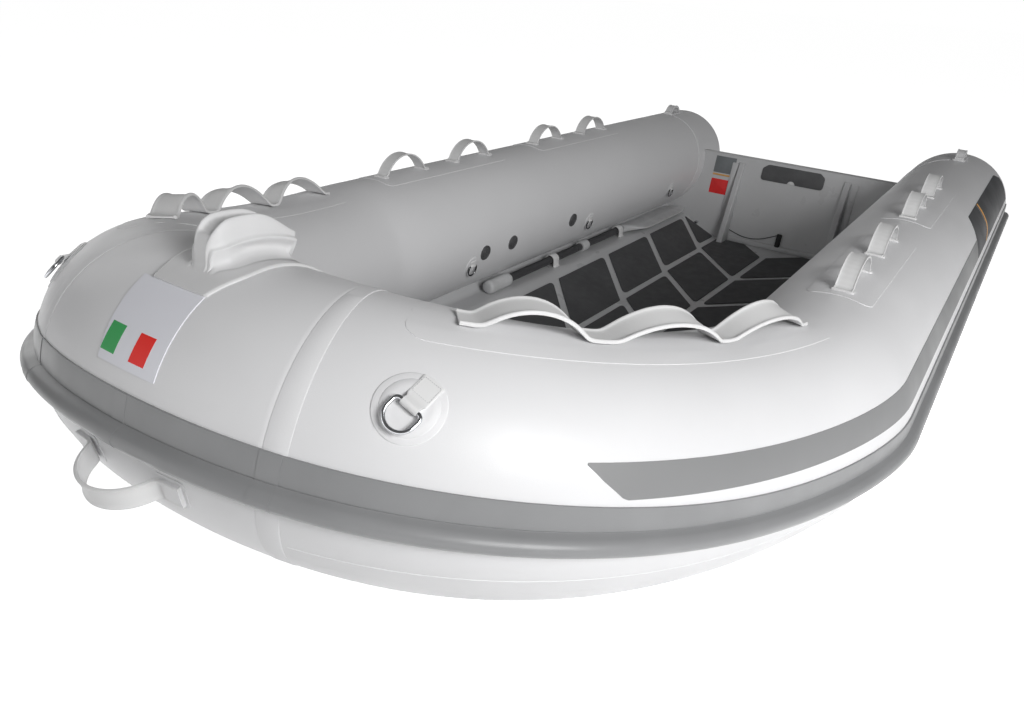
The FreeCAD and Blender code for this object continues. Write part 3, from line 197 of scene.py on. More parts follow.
def part_circle(radius, height, first, last, count):
    """Points on part of a circle over the origin, between two angles in degrees, as pairs."""
    turns = [math.radians(turn) for turn in span(first, last, count)]
    return [(radius * math.cos(turn), height + radius * math.sin(turn)) for turn in turns]


def corner_curve(first, corner, last, count):
    """Soft curve that replaces a corner."""
    shares = span(0.0, 1.0, count)
    return [first * (1 - t) ** 2 + corner * (2 * t * (1 - t)) + last * t * t for t in shares]


def ring_points(base, radius, height, count):
    return [base @ Vector((x, y, height)) for x, y in circle(radius, count)]


def whole(half):
    """Both sides of an outline that starts on the middle plane."""
    return [(-y, h) for y, h in reversed(half[1:])] + half


def add_object(name, data):
    work = bpy.data.objects.new(name, data)
    bpy.context.scene.collection.objects.link(work)
    return work


class Shape:
    """Points and faces of one piece, with lengths in metres as its UVs."""

    def __init__(self):
        self.points = []
        self.faces = []
        self.corners = []

    def grid(self, sections, around=False, along=False, caps=False):
        """Quads between sections of equal size."""
        start = len(self.points)
        rows, cols = len(sections), len(sections[0])
        for section in sections:
            self.points.extend(section)
        row_at = [0.0]
        for first, second in looped(sections):
            row_at.append(row_at[-1] + max((first[0] - second[0]).length, 1e-5))
        widest = max(sections, key=lambda s: sum((a - b).length for a, b in zip(s, s[1:])))
        col_at = [0.0]
        for first, second in looped(widest):
            col_at.append(col_at[-1] + (first - second).length)
        for i in range(rows if along else rows - 1):
            for j in range(cols if around else cols - 1):
                k, m = (i + 1) % rows, (j + 1) % cols
                lower, upper = start + i * cols, start + k * cols
                self.faces.append([lower + j, lower + m, upper + m, upper + j])
                self.corners.append([
                    (row_at[i], col_at[j]), (row_at[i], col_at[j + 1]),
                    (row_at[i + 1], col_at[j + 1]), (row_at[i + 1], col_at[j]),
                ])
        if caps:
            for row, flip in ((0, True), (rows - 1, False)):
                ring = [start + row * cols + j for j in range(cols)]
                if flip:
                    ring.reverse()
                self.faces.append(ring)
                self.corners.append([(0.0, 0.0)] * cols)

    def close(self, first, count):
        """One flat face over the ring of points that starts at first."""
        self.faces.append([first + k for k in range(count)])
        self.corners.append([(0.0, 0.0)] * count)

    def mirror(self):
        """The same shape on the other side of the boat."""
        other = Shape()
        other.points = [Vector((p[0], -p[1], p[2])) for p in self.points]
        other.faces = [face[::-1] for face in self.faces]
        other.corners = [corner[::-1] for corner in self.corners]
        return other

    def join(self, other):
        start = len(self.points)
        self.points.extend(other.points)
        self.faces.extend([[start + v for v in face] for face in other.faces])
        self.corners.extend(other.corners)

    def piece(self, name, material, slot, replaced=(), sharp=40.0, levels=0, body=BOAT):
        mesh = bpy.data.meshes.new(name)
        mesh.from_pydata([tuple(p) for p in self.points], [], self.faces)
        layer = mesh.uv_layers.new(name="metres")
        flat = [value for corner in self.corners for pair in corner for value in pair]
        layer.data.foreach_set("uv", flat)
        mesh.validate()
        work = add_object(name, mesh)
        tidy_normals(mesh)
        for polygon in mesh.polygons:
            polygon.use_smooth = True
        if sharp < 180:
            mesh.set_sharp_from_angle(angle=math.radians(sharp))
        if levels:
            fine = work.modifiers.new("fine", "SUBSURF")
            fine.levels = levels
            fine.render_levels = levels
        mesh.materials.append(material)
        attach(work, body)
        if replaced:
            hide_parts(*replaced)
        return work


def tidy_normals(mesh):
    work = bmesh.new()
    work.from_mesh(mesh)
    bmesh.ops.recalc_face_normals(work, faces=work.faces)
    work.to_mesh(mesh)
    work.free()


def stacked(loops):
    """Outlines joined in turn, with a face over the last one."""
    shape = Shape()
    shape.grid(loops, around=True)
    shape.close((len(loops) - 1) * len(loops[0]), len(loops[0]))
    return shape


def double(shape):
    other = shape.mirror()
    shape.join(other)
    return shape


def both(shape, name, material, slot, replaced=(), **options):
    """A port piece and its mirror, replacing NAME_port and NAME_starboard."""
    port = shape.piece(name + "_port", material, slot, [node + "_port" for node in replaced], **options)
    starboard = shape.mirror().piece(
        name + "_starboard", material, slot, [node + "_starboard" for node in replaced], **options
    )
    return port, starboard


# Materials


class Paint:
    """A node material: base colour that varies, roughness and bump."""

    def __init__(self, name, roughness, metallic=0.0, coat=0.0, sheen=0.0, specular=0.5):
        self.material = bpy.data.materials.new(name)
        self.material.use_nodes = True
        self.tree = self.material.node_tree
        self.tree.nodes.clear()
        self.out = self.tree.nodes.new("ShaderNodeOutputMaterial")
        self.shader = self.tree.nodes.new("ShaderNodeBsdfPrincipled")
        self.link(self.shader.outputs[0], self.out.inputs[0])
        self.shader.inputs["Roughness"].default_value = roughness
        self.shader.inputs["Metallic"].default_value = metallic
        self.shader.inputs["Coat Weight"].default_value = coat
        self.shader.inputs["Coat Roughness"].default_value = 0.25
        self.shader.inputs["Sheen Weight"].default_value = sheen
        self.shader.inputs["Specular IOR Level"].default_value = specular
        coords = self.node("ShaderNodeTexCoord")
        self.place = coords.outputs["Object"]
        self.metres = coords.outputs["UV"]
        self.height = None

    def node(self, kind, **settings):
        made = self.tree.nodes.new(kind)
        for key, value in settings.items():
            setattr(made, key, value)
        return made

    def link(self, source, target):
        self.tree.links.new(source, target)

    def noise(self, scale, detail):
        made = self.node("ShaderNodeTexNoise")
        made.inputs["Scale"].default_value = scale
        made.inputs["Detail"].default_value = detail
        self.link(self.place, made.inputs["Vector"])
        return made.outputs["Fac"]

    def voronoi(self, scale):
        made = self.node("ShaderNodeTexVoronoi")
        made.inputs["Scale"].default_value = scale
        self.link(self.place, made.inputs["Vector"])
        return made.outputs["Distance"]

    def wave(self, scale, direction, distortion):
        made = self.node("ShaderNodeTexWave", bands_direction=direction)
        made.inputs["Scale"].default_value = scale
        made.inputs["Distortion"].default_value = distortion
        self.link(self.metres, made.inputs["Vector"])
        return made.outputs["Fac"]

    def times(self, socket, factor):
        made = self.node("ShaderNodeMath", operation="MULTIPLY")
        self.link(socket, made.inputs[0])
        made.inputs[1].default_value = factor
        return made.outputs[0]

    def between(self, factor, low, high, first, second):
        """Colour from first to second as factor goes from low to high."""
        ramp = self.node("ShaderNodeValToRGB")
        ramp.color_ramp.elements[0].position = low
        ramp.color_ramp.elements[1].position = high
        ramp.color_ramp.elements[0].color = (*first, 1)
        ramp.color_ramp.elements[1].color = (*second, 1)
        self.link(factor, ramp.inputs[0])
        return ramp.outputs[0]

    def clouds(self, colour, scale, detail, dark, light, high=0.7):
        """Colour that drifts between a darker and a lighter shade."""
        return self.between(self.noise(scale, detail), 0.3, high, shade(colour, dark), shade(colour, light))

    def mix(self, factor, base, colour):
        made = self.node("ShaderNodeMix", data_type="RGBA")
        self.link(factor, made.inputs[0])
        self.link(base, made.inputs[6])
        made.inputs[7].default_value = (*colour, 1)
        return made.outputs[2]

    def colour(self, socket):
        self.link(socket, self.shader.inputs["Base Color"])

    def rough(self, factor, low, high):
        spread = self.node("ShaderNodeMapRange")
        self.link(factor, spread.inputs[0])
        spread.inputs[1].default_value = 0.3
        spread.inputs[2].default_value = 0.7
        spread.inputs[3].default_value = low
        spread.inputs[4].default_value = high
        self.link(spread.outputs[0], self.shader.inputs["Roughness"])

    def bump(self, height, distance, strength=1.0):
        made = self.node("ShaderNodeBump")
        made.inputs["Strength"].default_value = strength
        made.inputs["Distance"].default_value = distance
        self.link(height, made.inputs["Height"])
        if self.height is not None:
            self.link(self.height, made.inputs["Normal"])
        self.height = made.outputs[0]
        self.link(self.height, self.shader.inputs["Normal"])


def shade(colour, factor):
    return tuple(min(1.0, c * factor) for c in colour)


def coated_cloth(name, colour, roughness=0.42):
    """Coated fabric: faint clouding, a very fine grain and slow waves in the skin."""
    paint = Paint(name, roughness, specular=0.4)
    paint.colour(paint.clouds(colour, 2.2, 4.0, 0.955, 1.0))
    paint.rough(paint.noise(9.0, 2.0), roughness - 0.05, roughness + 0.07)
    paint.bump(paint.noise(5.0, 2.0), 0.0022, 0.35)
    paint.bump(paint.voronoi(620.0), 0.00012, 0.45)
    return paint.material


def moulded_rubber(name, colour, roughness, coat=0.0):
    paint = Paint(name, roughness, coat=coat, specular=0.4)
    paint.colour(paint.clouds(colour, 6.0, 5.0, 0.9, 1.03, 0.72))
    paint.rough(paint.noise(14.0, 3.0), roughness - 0.06, roughness + 0.1)
    paint.bump(paint.noise(420.0, 3.0), 0.00016, 0.5)
    return paint.material


def gelcoat(name, colour, roughness=0.34):
    """Moulded laminate with a slight orange peel."""
    paint = Paint(name, roughness, coat=0.25)
    paint.colour(paint.clouds(colour, 3.0, 5.0, 0.93, 1.02))
    paint.rough(paint.noise(12.0, 4.0), roughness - 0.08, roughness + 0.12)
    paint.bump(paint.noise(90.0, 2.0), 0.0006, 0.35)
    return paint.material


def foam_sheet(name, colour):
    """Foam deck sheet: cloudy tone, light flecks and a fine grain."""
    paint = Paint(name, 0.75, specular=0.3)
    cloud = paint.noise(7.0, 6.0)
    fleck = paint.voronoi(900.0)
    base = paint.between(cloud, 0.25, 0.75, shade(colour, 0.82), shade(colour, 1.12))
    paint.colour(paint.mix(paint.times(fleck, 0.25), base, shade(colour, 1.8)))
    paint.rough(paint.noise(30.0, 3.0), 0.62, 0.85)
    paint.bump(paint.voronoi(700.0), 0.0004, 0.6)
    return paint.material


def band_scale(pitch):
    """Scale of a wave texture for a pitch of its bands in metres."""
    return 1.0 / (pitch * 6.2832) * 3.1416 / 10.0


def webbing(name, colour, rib=0.0022):
    """Coated webbing with cross ribs and lengthwise yarns."""
    paint = Paint(name, 0.55, specular=0.35, sheen=0.1)
    ribs = paint.wave(band_scale(rib), "X", 0.6)
    yarns = paint.wave(band_scale(0.0035), "Y", 0.4)
    base = paint.clouds(colour, 8.0, 4.0, 0.94, 1.02)
    paint.colour(paint.mix(paint.times(ribs, 0.07), base, shade(colour, 0.7)))
    paint.bump(ribs, 0.0004, 0.45)
    paint.bump(yarns, 0.0003, 0.3)
    return paint.material


def polished_steel(name, tone=1.0):
    paint = Paint(name, 0.16, metallic=1.0)
    cloud = paint.noise(60.0, 3.0)
    dark, light = shade((0.5, 0.51, 0.53), tone), shade((0.66, 0.67, 0.69), tone)
    paint.colour(paint.between(cloud, 0.3, 0.7, dark, light))
    paint.rough(paint.noise(200.0, 2.0), 0.12, 0.24)
    paint.bump(paint.noise(260.0, 2.0), 0.00006, 0.3)
    return paint.material


def moulded_plastic(name, colour, roughness=0.4):
    paint = Paint(name, roughness)
    paint.colour(paint.clouds(colour, 18.0, 4.0, 0.88, 1.06))
    paint.rough(paint.noise(60.0, 3.0), roughness - 0.07, roughness + 0.1)
    paint.bump(paint.noise(520.0, 2.0), 0.00012, 0.5)
    return paint.material


WHITE = (0.80, 0.80, 0.81)
cloth_white = coated_cloth("tube_cloth", WHITE)
cloth_patch = coated_cloth("patch_cloth", shade(WHITE, 1.0), 0.46)
cloth_badge = coated_cloth("badge_cloth", (0.84, 0.845, 0.90), 0.4)
cloth_grey = coated_cloth("stripe_cloth", (0.255, 0.257, 0.26), 0.45)
cloth_dark = coated_cloth("panel_cloth", (0.058, 0.060, 0.065), 0.5)
cloth_orange = coated_cloth("trim_line_cloth", (0.86, 0.43, 0.10), 0.45)
cloth_green = coated_cloth("green_cloth", (0.045, 0.40, 0.11), 0.45)
cloth_red = coated_cloth("red_cloth", (0.90, 0.02, 0.012), 0.45)
rubber_grey = moulded_rubber("strake_rubber", (0.27, 0.273, 0.278), 0.4, coat=0.15)
rubber_white = moulded_rubber("white_rubber", (0.77, 0.77, 0.775), 0.42)
hull_paint = gelcoat("hull_gelcoat", (0.74, 0.74, 0.75), 0.25)
deck_paint = gelcoat("deck_gelcoat", (0.58, 0.583, 0.59))
pad_foam = foam_sheet("floor_foam", (0.086, 0.087, 0.090))
clamp_pad = moulded_plastic("clamp_pad_plastic", (0.10, 0.101, 0.104), 0.55)
black_plastic = moulded_plastic("black_plastic", (0.012, 0.012, 0.013), 0.38)
valve_plastic = moulded_plastic("valve_plastic", (0.10, 0.101, 0.104), 0.45)
label_grey = moulded_plastic("label_grey", (0.20, 0.215, 0.225), 0.35)
label_orange = moulded_plastic("label_orange", (0.75, 0.40, 0.12), 0.35)
label_red = moulded_plastic("label_red", (0.85, 0.03, 0.03), 0.35)
web_white = webbing("white_webbing", (0.78, 0.78, 0.78))
web_smooth = coated_cloth("strap_cloth", (0.79, 0.79, 0.79), 0.42)
web_grey = webbing("grey_webbing", (0.5, 0.5, 0.51))
steel = polished_steel("polished_steel")
# Painted shade: a darker copy of the polished steel for the lashing rings low on the tube's inner side. It
# stands in for their shade and darker reflections.
steel_painted_shade = polished_steel("painted_shade_steel", 0.35)
oar_light = moulded_plastic("oar_grip_plastic", (0.60, 0.605, 0.61), 0.42)
oar_dark = moulded_plastic("oar_shaft_coat", (0.055, 0.055, 0.058), 0.34)
line_dark = webbing("lanyard_line", (0.035, 0.035, 0.037), 0.0012)


# Air tubes

AROUND = 96


def tube_ring(run, radius, shift=0.0):
    """Ring of points round the tube, shift moves it aft of the tube's end."""
    ring = []
    for k in range(AROUND):
        point = tube_point(run, 360.0 * k / AROUND, radius)
        ring.append(point + straight * shift if run > 0 else point)
    return ring


def cone_profile():
    """Radius against distance past the end of the straight tube."""
    slope = math.atan2(TUBE_RADIUS - CONE_RADIUS, CONE_LENGTH)
    profile = []
    tangent = CONE_ROUND * math.tan(slope / 2)
    for turn in span(0.0, slope, 8):
        drop = CONE_ROUND * (1 - math.cos(turn))
        profile.append((-tangent + CONE_ROUND * math.sin(turn), TUBE_RADIUS - drop))
    rest = math.pi / 2 - slope
    tangent = DISC_ROUND * math.tan(rest / 2)
    centre_shift = CONE_LENGTH - DISC_ROUND
    centre_radius = CONE_RADIUS - tangent
    for turn in span(slope, math.pi / 2, 8):
        across = centre_radius + DISC_ROUND * math.cos(turn)
        profile.append((centre_shift + DISC_ROUND * math.sin(turn), across))
    for share in (0.8, 0.55, 0.3, 0.1, 0.01):
        profile.append((CONE_LENGTH - 0.001 * share, centre_radius * share))
    return profile


def make_tubes():
    bow = Shape()
    bow.grid([tube_ring(run, TUBE_RADIUS) for run in span(-SEAM, SEAM, 23)], around=True, caps=True)
    bow.piece("bow_chamber", cloth_white, "tube_cloth", ["tube_bow"], sharp=180)
    side = Shape()
    rings = [tube_ring(run, TUBE_RADIUS) for run in span(SEAM, SHOULDER, 56)]
    rings += [tube_ring(run, TUBE_RADIUS) for run in span(SHOULDER, END - 0.03, 40)[1:]]
    rings += [tube_ring(END, radius, shift) for shift, radius in cone_profile()]
    side.grid(rings, around=True, caps=True)
    both(side, "side_chamber", cloth_white, "tube_cloth", ["quarter_tube", "side_tube"], sharp=50)


def make_seam_bands():
    """Raised tape round the chamber joints with soft edges."""
    half = SEAM_HALF
    side = [(-half, -0.0015), (-half, 0.0003), (-half + 0.0012, SEAM_RISE)]
    profile = side + [(-along, height) for along, height in reversed(side)]
    tape = Shape()
    rows = []
    for k in range(SEAM_SIDES):
        angle = 360.0 * k / SEAM_SIDES
        rows.append([tube_point(SEAM + along, angle, TUBE_RADIUS + height) for along, height in profile])
    tape.grid(rows, along=True)
    other = tape.mirror()
    tape.join(other)
    tape.piece("seam_tapes", cloth_patch, "tube_cloth", ["seam_bands"], sharp=24)


# Rub strake

STRAKE_TOP, STRAKE_BOTTOM, STRAKE_RIDGE = 8.8, -13.1, -5.6
STRAKE_TOP_LIFT, STRAKE_BOTTOM_LIFT, STRAKE_RIDGE_LIFT = 11.5, 14.8, 9.0
STRAKE_LIFT_POWER = 2.97
STRAKE_BOW_END, STRAKE_SIDE_START = 0.1968, 0.197
COLLAR_SWELL = 0.0007


def bow_lift(run):
    x = centre_point(run).x
    return max(0.0, (x - SHOULDER_X) / (BOW_X - SHOULDER_X)) ** STRAKE_LIFT_POWER


def strake_section(run, swell=0.0):
    """Outline of the strake: flat band, round ridge and lower lip."""
    lift = bow_lift(run)
    top = STRAKE_TOP + STRAKE_TOP_LIFT * lift
    bottom = STRAKE_BOTTOM + STRAKE_BOTTOM_LIFT * lift
    ridge = STRAKE_RIDGE + STRAKE_RIDGE_LIFT * lift
    ridge_top = ridge + 5.2
    ridge_bottom = ridge - 4.2
    lip_bottom = max(bottom, ridge_bottom - 3.6)
    outline = [(top, -0.002), (top, 0.0022), (top - 0.25, 0.0032)]
    outline += [(angle, 0.0032) for angle in span(top - 1.0, ridge_top + 0.7, 4)]
    outline += [(ridge_top + 0.25, 0.0020), (ridge_top - 0.1, 0.0034)]
    for share in span(0.06, 0.94, 12):
        bulge = math.sin(math.pi * share) ** 0.62
        outline.append((ridge_top + (ridge_bottom - ridge_top) * share, 0.004 + 0.0205 * bulge))
    outline += [(ridge_bottom - 0.15, 0.0075)]
    for share in span(0.2, 0.9, 5):
        bulge = math.sin(math.pi * (0.35 + 0.62 * share))
        outline.append((ridge_bottom + (lip_bottom - ridge_bottom) * share, 0.0045 + 0.0035 * bulge))
    outline += [(lip_bottom, 0.003), (lip_bottom, -0.002)]
    return [tube_point(run, angle, TUBE_RADIUS + height + swell * (height > 0)) for angle, height in outline]


def make_strakes():
    bow = Shape()
    runs = span(-STRAKE_BOW_END, STRAKE_BOW_END, 33)
    bow.grid([strake_section(run) for run in runs], around=True, caps=True)
    bow.grid([strake_section(run, COLLAR_SWELL) for run in span(-0.001, 0.021, 3)], around=True, caps=True)
    bow.piece("strake_bow", rubber_grey, "strake_rubber", ["rub_strake_bow"], sharp=32)
    side = Shape()
    runs = span(STRAKE_SIDE_START, SHOULDER, 60) + span(SHOULDER, END, 20)[1:]
    sections = [strake_section(run) for run in runs]
    last = sections[-1]
    root = [tube_point(END, STRAKE_RIDGE, TUBE_RADIUS - 0.004)] * len(last)
    for share in (0.35, 0.7, 0.95):
        drop = 1 - math.cos(share * math.pi / 2)
        shift = straight * (0.004 * math.sin(share * math.pi / 2) - 0.004)
        sections.append([p + (q - p) * drop + shift for p, q in zip(last, root)])
    side.grid(sections, around=True, caps=True)
    side.grid([strake_section(run, COLLAR_SWELL) for run in span(0.188, 0.210, 3)], around=True, caps=True)
    both(side, "strake", rubber_grey, "strake_rubber", ["rub_strake"], sharp=32)


# Films: thin cloth areas on the tube, with their borders sunk under its skin

FILM_SINK = 0.0012


def corner_cut(distance, corner):
    """How far a rounded corner pulls an edge in at a distance from the other edge."""
    if distance >= corner:
        return 0.0
    return corner - math.sqrt(max(0.0, corner * corner - (corner - distance) ** 2))


def edge_steps(first, last, corner, step):
    """Positions from first to last, close together near both ends."""
    length = last - first
    count = max(2, int((length - 2 * corner) / step) + 1)
    rim = [0.0, 0.0008, 0.0022]
    if corner > 0.004:
        rim = sorted(r for r in rim + [corner * k / 6 for k in range(1, 6)] if r <= corner)
    middle = span(first + max(corner, 0.004), last - max(corner, 0.004), count)
    return [first + r for r in rim] + middle + [last - r for r in reversed(rim)]


def film(place, low, high, start_of, end_of, thickness, step=0.02, rim=0.0008, corner=0.0):
    """Thin area between two lengthwise limits, which may depend on the cross position."""
    shape = Shape()
    rows = []
    middle = 0.5 * (low + high)
    count = max(3, int(abs(end_of(middle) - start_of(middle)) / step))
    crosses = edge_steps(low, high, corner, step)
    for number, cross in enumerate(crosses):
        start, end = start_of(cross), end_of(cross)
        border_row = number in (0, len(crosses) - 1)
        cut = corner_cut(min(cross - low, high - cross), corner)
        start, end = start + cut, end - cut
        positions = [start, start + rim] + span(start + 3 * rim, end - 3 * rim, count) + [end - rim, end]
        row = []
        for index, position in enumerate(positions):
            border = border_row or index in (0, len(positions) - 1)
            row.append(place(position, cross, -FILM_SINK if border else thickness))
        rows.append(row)
    shape.grid(rows)
    return shape


def on_tube(position, cross, height):
    """Position is the run along the tube, cross is an arc length above the outward horizontal."""
    return tube_point(position, math.degrees(cross / TUBE_RADIUS), TUBE_RADIUS + height)


def arc(angle):
    return math.radians(angle) * TUBE_RADIUS


STRIPE_BOTTOM, STRIPE_TOP, PANEL_KNEE, PANEL_TOP = 16.0, 30.5, 38.0, 50.0
STRIPE_START, PANEL_START, LINE_RUN = 0.540, 2.560, 2.893


def make_stripes():
    low, high, knee, top = arc(STRIPE_BOTTOM), arc(STRIPE_TOP), arc(PANEL_KNEE), arc(PANEL_TOP)
    corner = 0.009

    def stripe_start(cross):
        share = (cross - low) / (high - low)
        return STRIPE_START - 0.058 * share + corner_cut(min(cross - low, high - cross), corner)

    def panel_start(cross):
        return PANEL_START + 0.100 * (cross - low) / (top - low)

    stripe = film(
        on_tube, low, high, stripe_start, lambda cross: panel_start(cross) - 0.0015, 0.0009, 0.022,
    )
    both(stripe, "stripe", cloth_grey, "grey_cloth", ["side_stripe"], sharp=60)

    def panel_end(cross):
        share = max(0.0, (cross - knee) / (top - knee))
        return END - 0.045 - 0.10 * share * share

    panel = film(on_tube, low, top, panel_start, panel_end, 0.0009, 0.022, corner=0.006)
    both(panel, "aft_panel", cloth_dark, "dark_cloth", ["aft_panel"], sharp=60)

    def line_middle(cross):
        share = (top - cross) / (top - low)
        return LINE_RUN - 0.018 * share ** 3 - 0.15 * max(0.0, share - 0.66) ** 1.6 * 3.0

    lines = (("line_wide", cloth_orange, 0.0, 0.020), ("line_thin", cloth_grey, -0.021, 0.004))
    for name, paint, shift, width in lines:
        line = film(
            on_tube, low + 0.003, top - 0.003,
            lambda cross: line_middle(cross) + shift, lambda cross: line_middle(cross) + shift + width,
            0.0014, 0.008, rim=0.0004,
        )
        both(line, "trim_" + name, paint, "grey_cloth")


def rounded_patch(run, angle, half_x, half_y, corner, thickness, turn=0.0, step=0.02):
    return film(
        lambda along, down, height: surface_point(run, angle, along, down, height, turn),
        -half_y, half_y, lambda cross: -half_x, lambda cross: half_x, thickness, step, corner=corner,
    )


DISC_SIDES = 64


def disc_patch(run, angle, radius, thickness, turn=0.0):
    """Round patch on the tube."""
    shape = Shape()
    rings = []
    for share, rise in ((0.02, 1.0), (0.35, 1.0), (0.7, 1.0), (0.965, 1.0), (0.99, 0.55), (1.0, None)):
        height = -0.001 if rise is None else thickness * rise
        spots = circle(radius * share, DISC_SIDES)
        rings.append([surface_point(run, angle, along, down, height, turn) for along, down in spots])
    shape.grid(rings, around=True)
    shape.close(0, DISC_SIDES)
    return shape


def stern_line(cross):
    """Run along the tube where the transom's inner face meets it at an arc length round the tube."""
    z = TUBE_HEIGHT + TUBE_RADIUS * math.sin(cross / TUBE_RADIUS)
    return SHOULDER + SHOULDER_X - transom_face_x(z)


STRAP_PATCH_START, STRAP_PATCH_END = 0.274, 1.185
STERN_TAPE_AFT, STERN_TAPE_FRONT = 0.068, 0.036


def make_patches():
    """Reinforcing cloth under the straps, the tape at the transom, and two long tapes low on the tube."""
    under = film(
        on_tube, arc(72.0), arc(112.0),
        lambda c: STRAP_PATCH_START, lambda c: STRAP_PATCH_END, 0.0007, 0.03, corner=0.035,
    )
    both(under, "strap_base_patch", cloth_patch, "tube_cloth")
    stern_tape = film(
        on_tube, arc(98.0), arc(218.0),
        lambda c: stern_line(c) - STERN_TAPE_AFT, lambda c: stern_line(c) - STERN_TAPE_FRONT, 0.0016, 0.02,
    )
    both(stern_tape, "stern_tape", cloth_patch, "tube_cloth")
    for name, low, high in (("low_tape", -31.0, -21.0), ("keel_tape", -63.0, -55.0)):
        tape = film(on_tube, arc(low), arc(high), lambda c: 0.219, lambda c: END - 0.05, 0.0006, 0.03)
        both(tape, name, cloth_patch, "tube_cloth")


# Webbing


def strap_profile(width, thickness, bead):
    """Section of webbing with rolled edges: across and height pairs."""
    half = 0.5 * width
    t = 0.5 * thickness
    side = [
        (-half + 2.6 * bead, t), (-half + 2.0 * bead, t + 0.25 * bead), (-half + 1.4 * bead, t + 0.75 * bead),
        (-half + 0.6 * bead, t + 0.75 * bead), (-half, t), (-half, -t), (-half + 0.6 * bead, -t - 0.3 * bead),
        (-half + 1.6 * bead, -t),
    ]
    other = [(-a, h) for a, h in reversed(side)]
    middle = [(a, t - 0.0004) for a in span(half - 4.0 * bead, -half + 4.0 * bead, 5)]
    under = [(a, -t) for a in span(-half + 4.0 * bead, half - 4.0 * bead, 3)]
    return side + under + other + middle


def relaxed(points, rounds):
    """Softened polyline with its ends kept."""
    for _ in range(rounds):
        points = points[:1] + [
            (a + b * 2.0 + c) / 4.0 for a, b, c in zip(points[:-2], points[1:-1], points[2:])
        ] + points[-1:]
    return points


def resampled(points, step):
    """The same line with evenly spaced points."""
    runs = [0.0]
    for a, b in zip(points[:-1], points[1:]):
        runs.append(runs[-1] + (b - a).length)
    count = max(4, int(runs[-1] / step) + 1)
    out = []
    index = 0
    for target in span(0.0, runs[-1], count):
        while index < len(runs) - 2 and runs[index + 1] < target:
            index += 1
        part = (target - runs[index]) / max(1e-9, runs[index + 1] - runs[index])
        out.append(points[index].lerp(points[index + 1], min(1.0, max(0.0, part))))
    return out


def arch_line(first, last, angle, height, base, lean=0.0):
    """Centre line of a webbing arch in the plane of its two feet."""
    start = tube_point(first, angle, TUBE_RADIUS + base)
    finish = tube_point(last, angle, TUBE_RADIUS + base)
    hint = tube_normal(0.5 * (first + last), angle - lean)
    half = 0.5 * (finish - start).length
    along = (finish - start).normalized()
    across = along.cross(hint).normalized()
    out = across.cross(along)
    middle = (start + finish) * 0.5
    radius = (half * half + height * height) / (2 * height)
    centre = middle + out * (height - radius)
    reach = math.asin(min(1.0, half / radius))
    if height > half:
        reach = math.pi - reach
    line = []
    for turn in span(-reach, reach, 25):
        line.append(centre + along * (radius * math.sin(turn)) + out * (radius * math.cos(turn)))
    return line


def nearest_run(point, guess):
    """Run along the tube whose centre is closest to a point."""
    return min(span(guess - 0.06, guess + 0.06, 41), key=lambda run: (centre_point(run) - point).length)


def swept_strap(line, angle, runs, profile, heading=None):
    """Webbing along a line; runs gives the tube distance at the two ends, heading its run and lean."""
    shape = Shape()
    sections = []
    count = len(line)
    for index, point in enumerate(line):
        before = line[max(0, index - 1)]
        after = line[min(count - 1, index + 1)]
        tangent = (after - before).normalized()
        run = runs[0] + (runs[1] - runs[0]) * index / (count - 1)
        lean = 0.0
        if heading:
            run, lean = heading(nearest_run(point, run))
        normal_hint = tube_normal(run, angle - lean)
        forward = -section_axes(run)[1]
        across = normal_hint.cross(forward).normalized()
        across = (across - tangent * across.dot(tangent)).normalized()
        out = across.cross(tangent).normalized()
        if out.dot(normal_hint) < 0:
            out = -out
        sections.append([point + across * a + out * h for a, h in profile])
    shape.grid(sections, around=True, caps=True)
    return shape


def foot_line(first, last, angle, height):
    count = max(3, int(abs(last - first) / 0.006) + 1)
    return [tube_point(run, angle, TUBE_RADIUS + height) for run in span(first, last, count)]


def arched_strap(first, last, angle, height, base, foot, profile, gap=0.002, step=0.005, rounds=3):
    """Webbing with one arch between two flat feet."""
    line = foot_line(first - foot, first - gap, angle, base)
    line += arch_line(first, last, angle, height, base)
    line += foot_line(last + gap, last + foot, angle, base)
    line = relaxed(resampled(line, step), rounds)
    return swept_strap(line, angle, (first - foot, last + foot), profile)


LOOP_ANGLE, LOOP_LENGTH, LOOP_HEIGHT = 89.0, 0.171, 0.055
LOOP_STARTS = ((1.440, 1.780), (2.262, 2.610))
LOOP_WIDTH, LOOP_BASE, LOOP_FOOT, LOOP_MARGIN = 0.042, 0.0034, 0.015, 0.046


def make_loops():
    loops = Shape()
    patches = Shape()
    feet = Shape()
    profile = strap_profile(LOOP_WIDTH, 0.0036, 0.0014)
    for starts in LOOP_STARTS:
        first, last = starts[0] - LOOP_MARGIN, starts[1] + LOOP_LENGTH + LOOP_MARGIN
        half = 0.5 * (last - first)
        patches.join(rounded_patch(first + half, LOOP_ANGLE, half, 0.072, 0.022, 0.0012))
        for start in starts:
            end = start + LOOP_LENGTH
            shape = (LOOP_HEIGHT, LOOP_BASE, LOOP_FOOT, profile, 0.001)
            loops.join(arched_strap(start, end, LOOP_ANGLE, *shape, rounds=2))
            for middle in (start - 0.006, end + 0.006):
                feet.join(rounded_patch(middle, LOOP_ANGLE, 0.0105, 0.025, 0.004, 0.0050, step=0.006))
    both(loops, "loop_webbing", web_white, "white_webbing", ["loops"], sharp=50)
    both(patches, "loop_patches", cloth_patch, "white_webbing")
    both(feet, "loop_feet", web_smooth, "white_webbing", sharp=60)


STRAP_ANGLE, STRAP_FIRST, STRAP_LAST, STRAP_BASE = 91.6, 0.334, 1.150, 0.003
# Each arch: first and last run, lean, height and how far aft its heading is taken
STRAP_ARCHES = (
    (0.362, 0.530, 6.0, 0.037, 0.09),
    (0.589, 0.844, 18.0, 0.044, 0.02),
    (0.886, 1.126, 22.0, 0.045, 0.0),
)


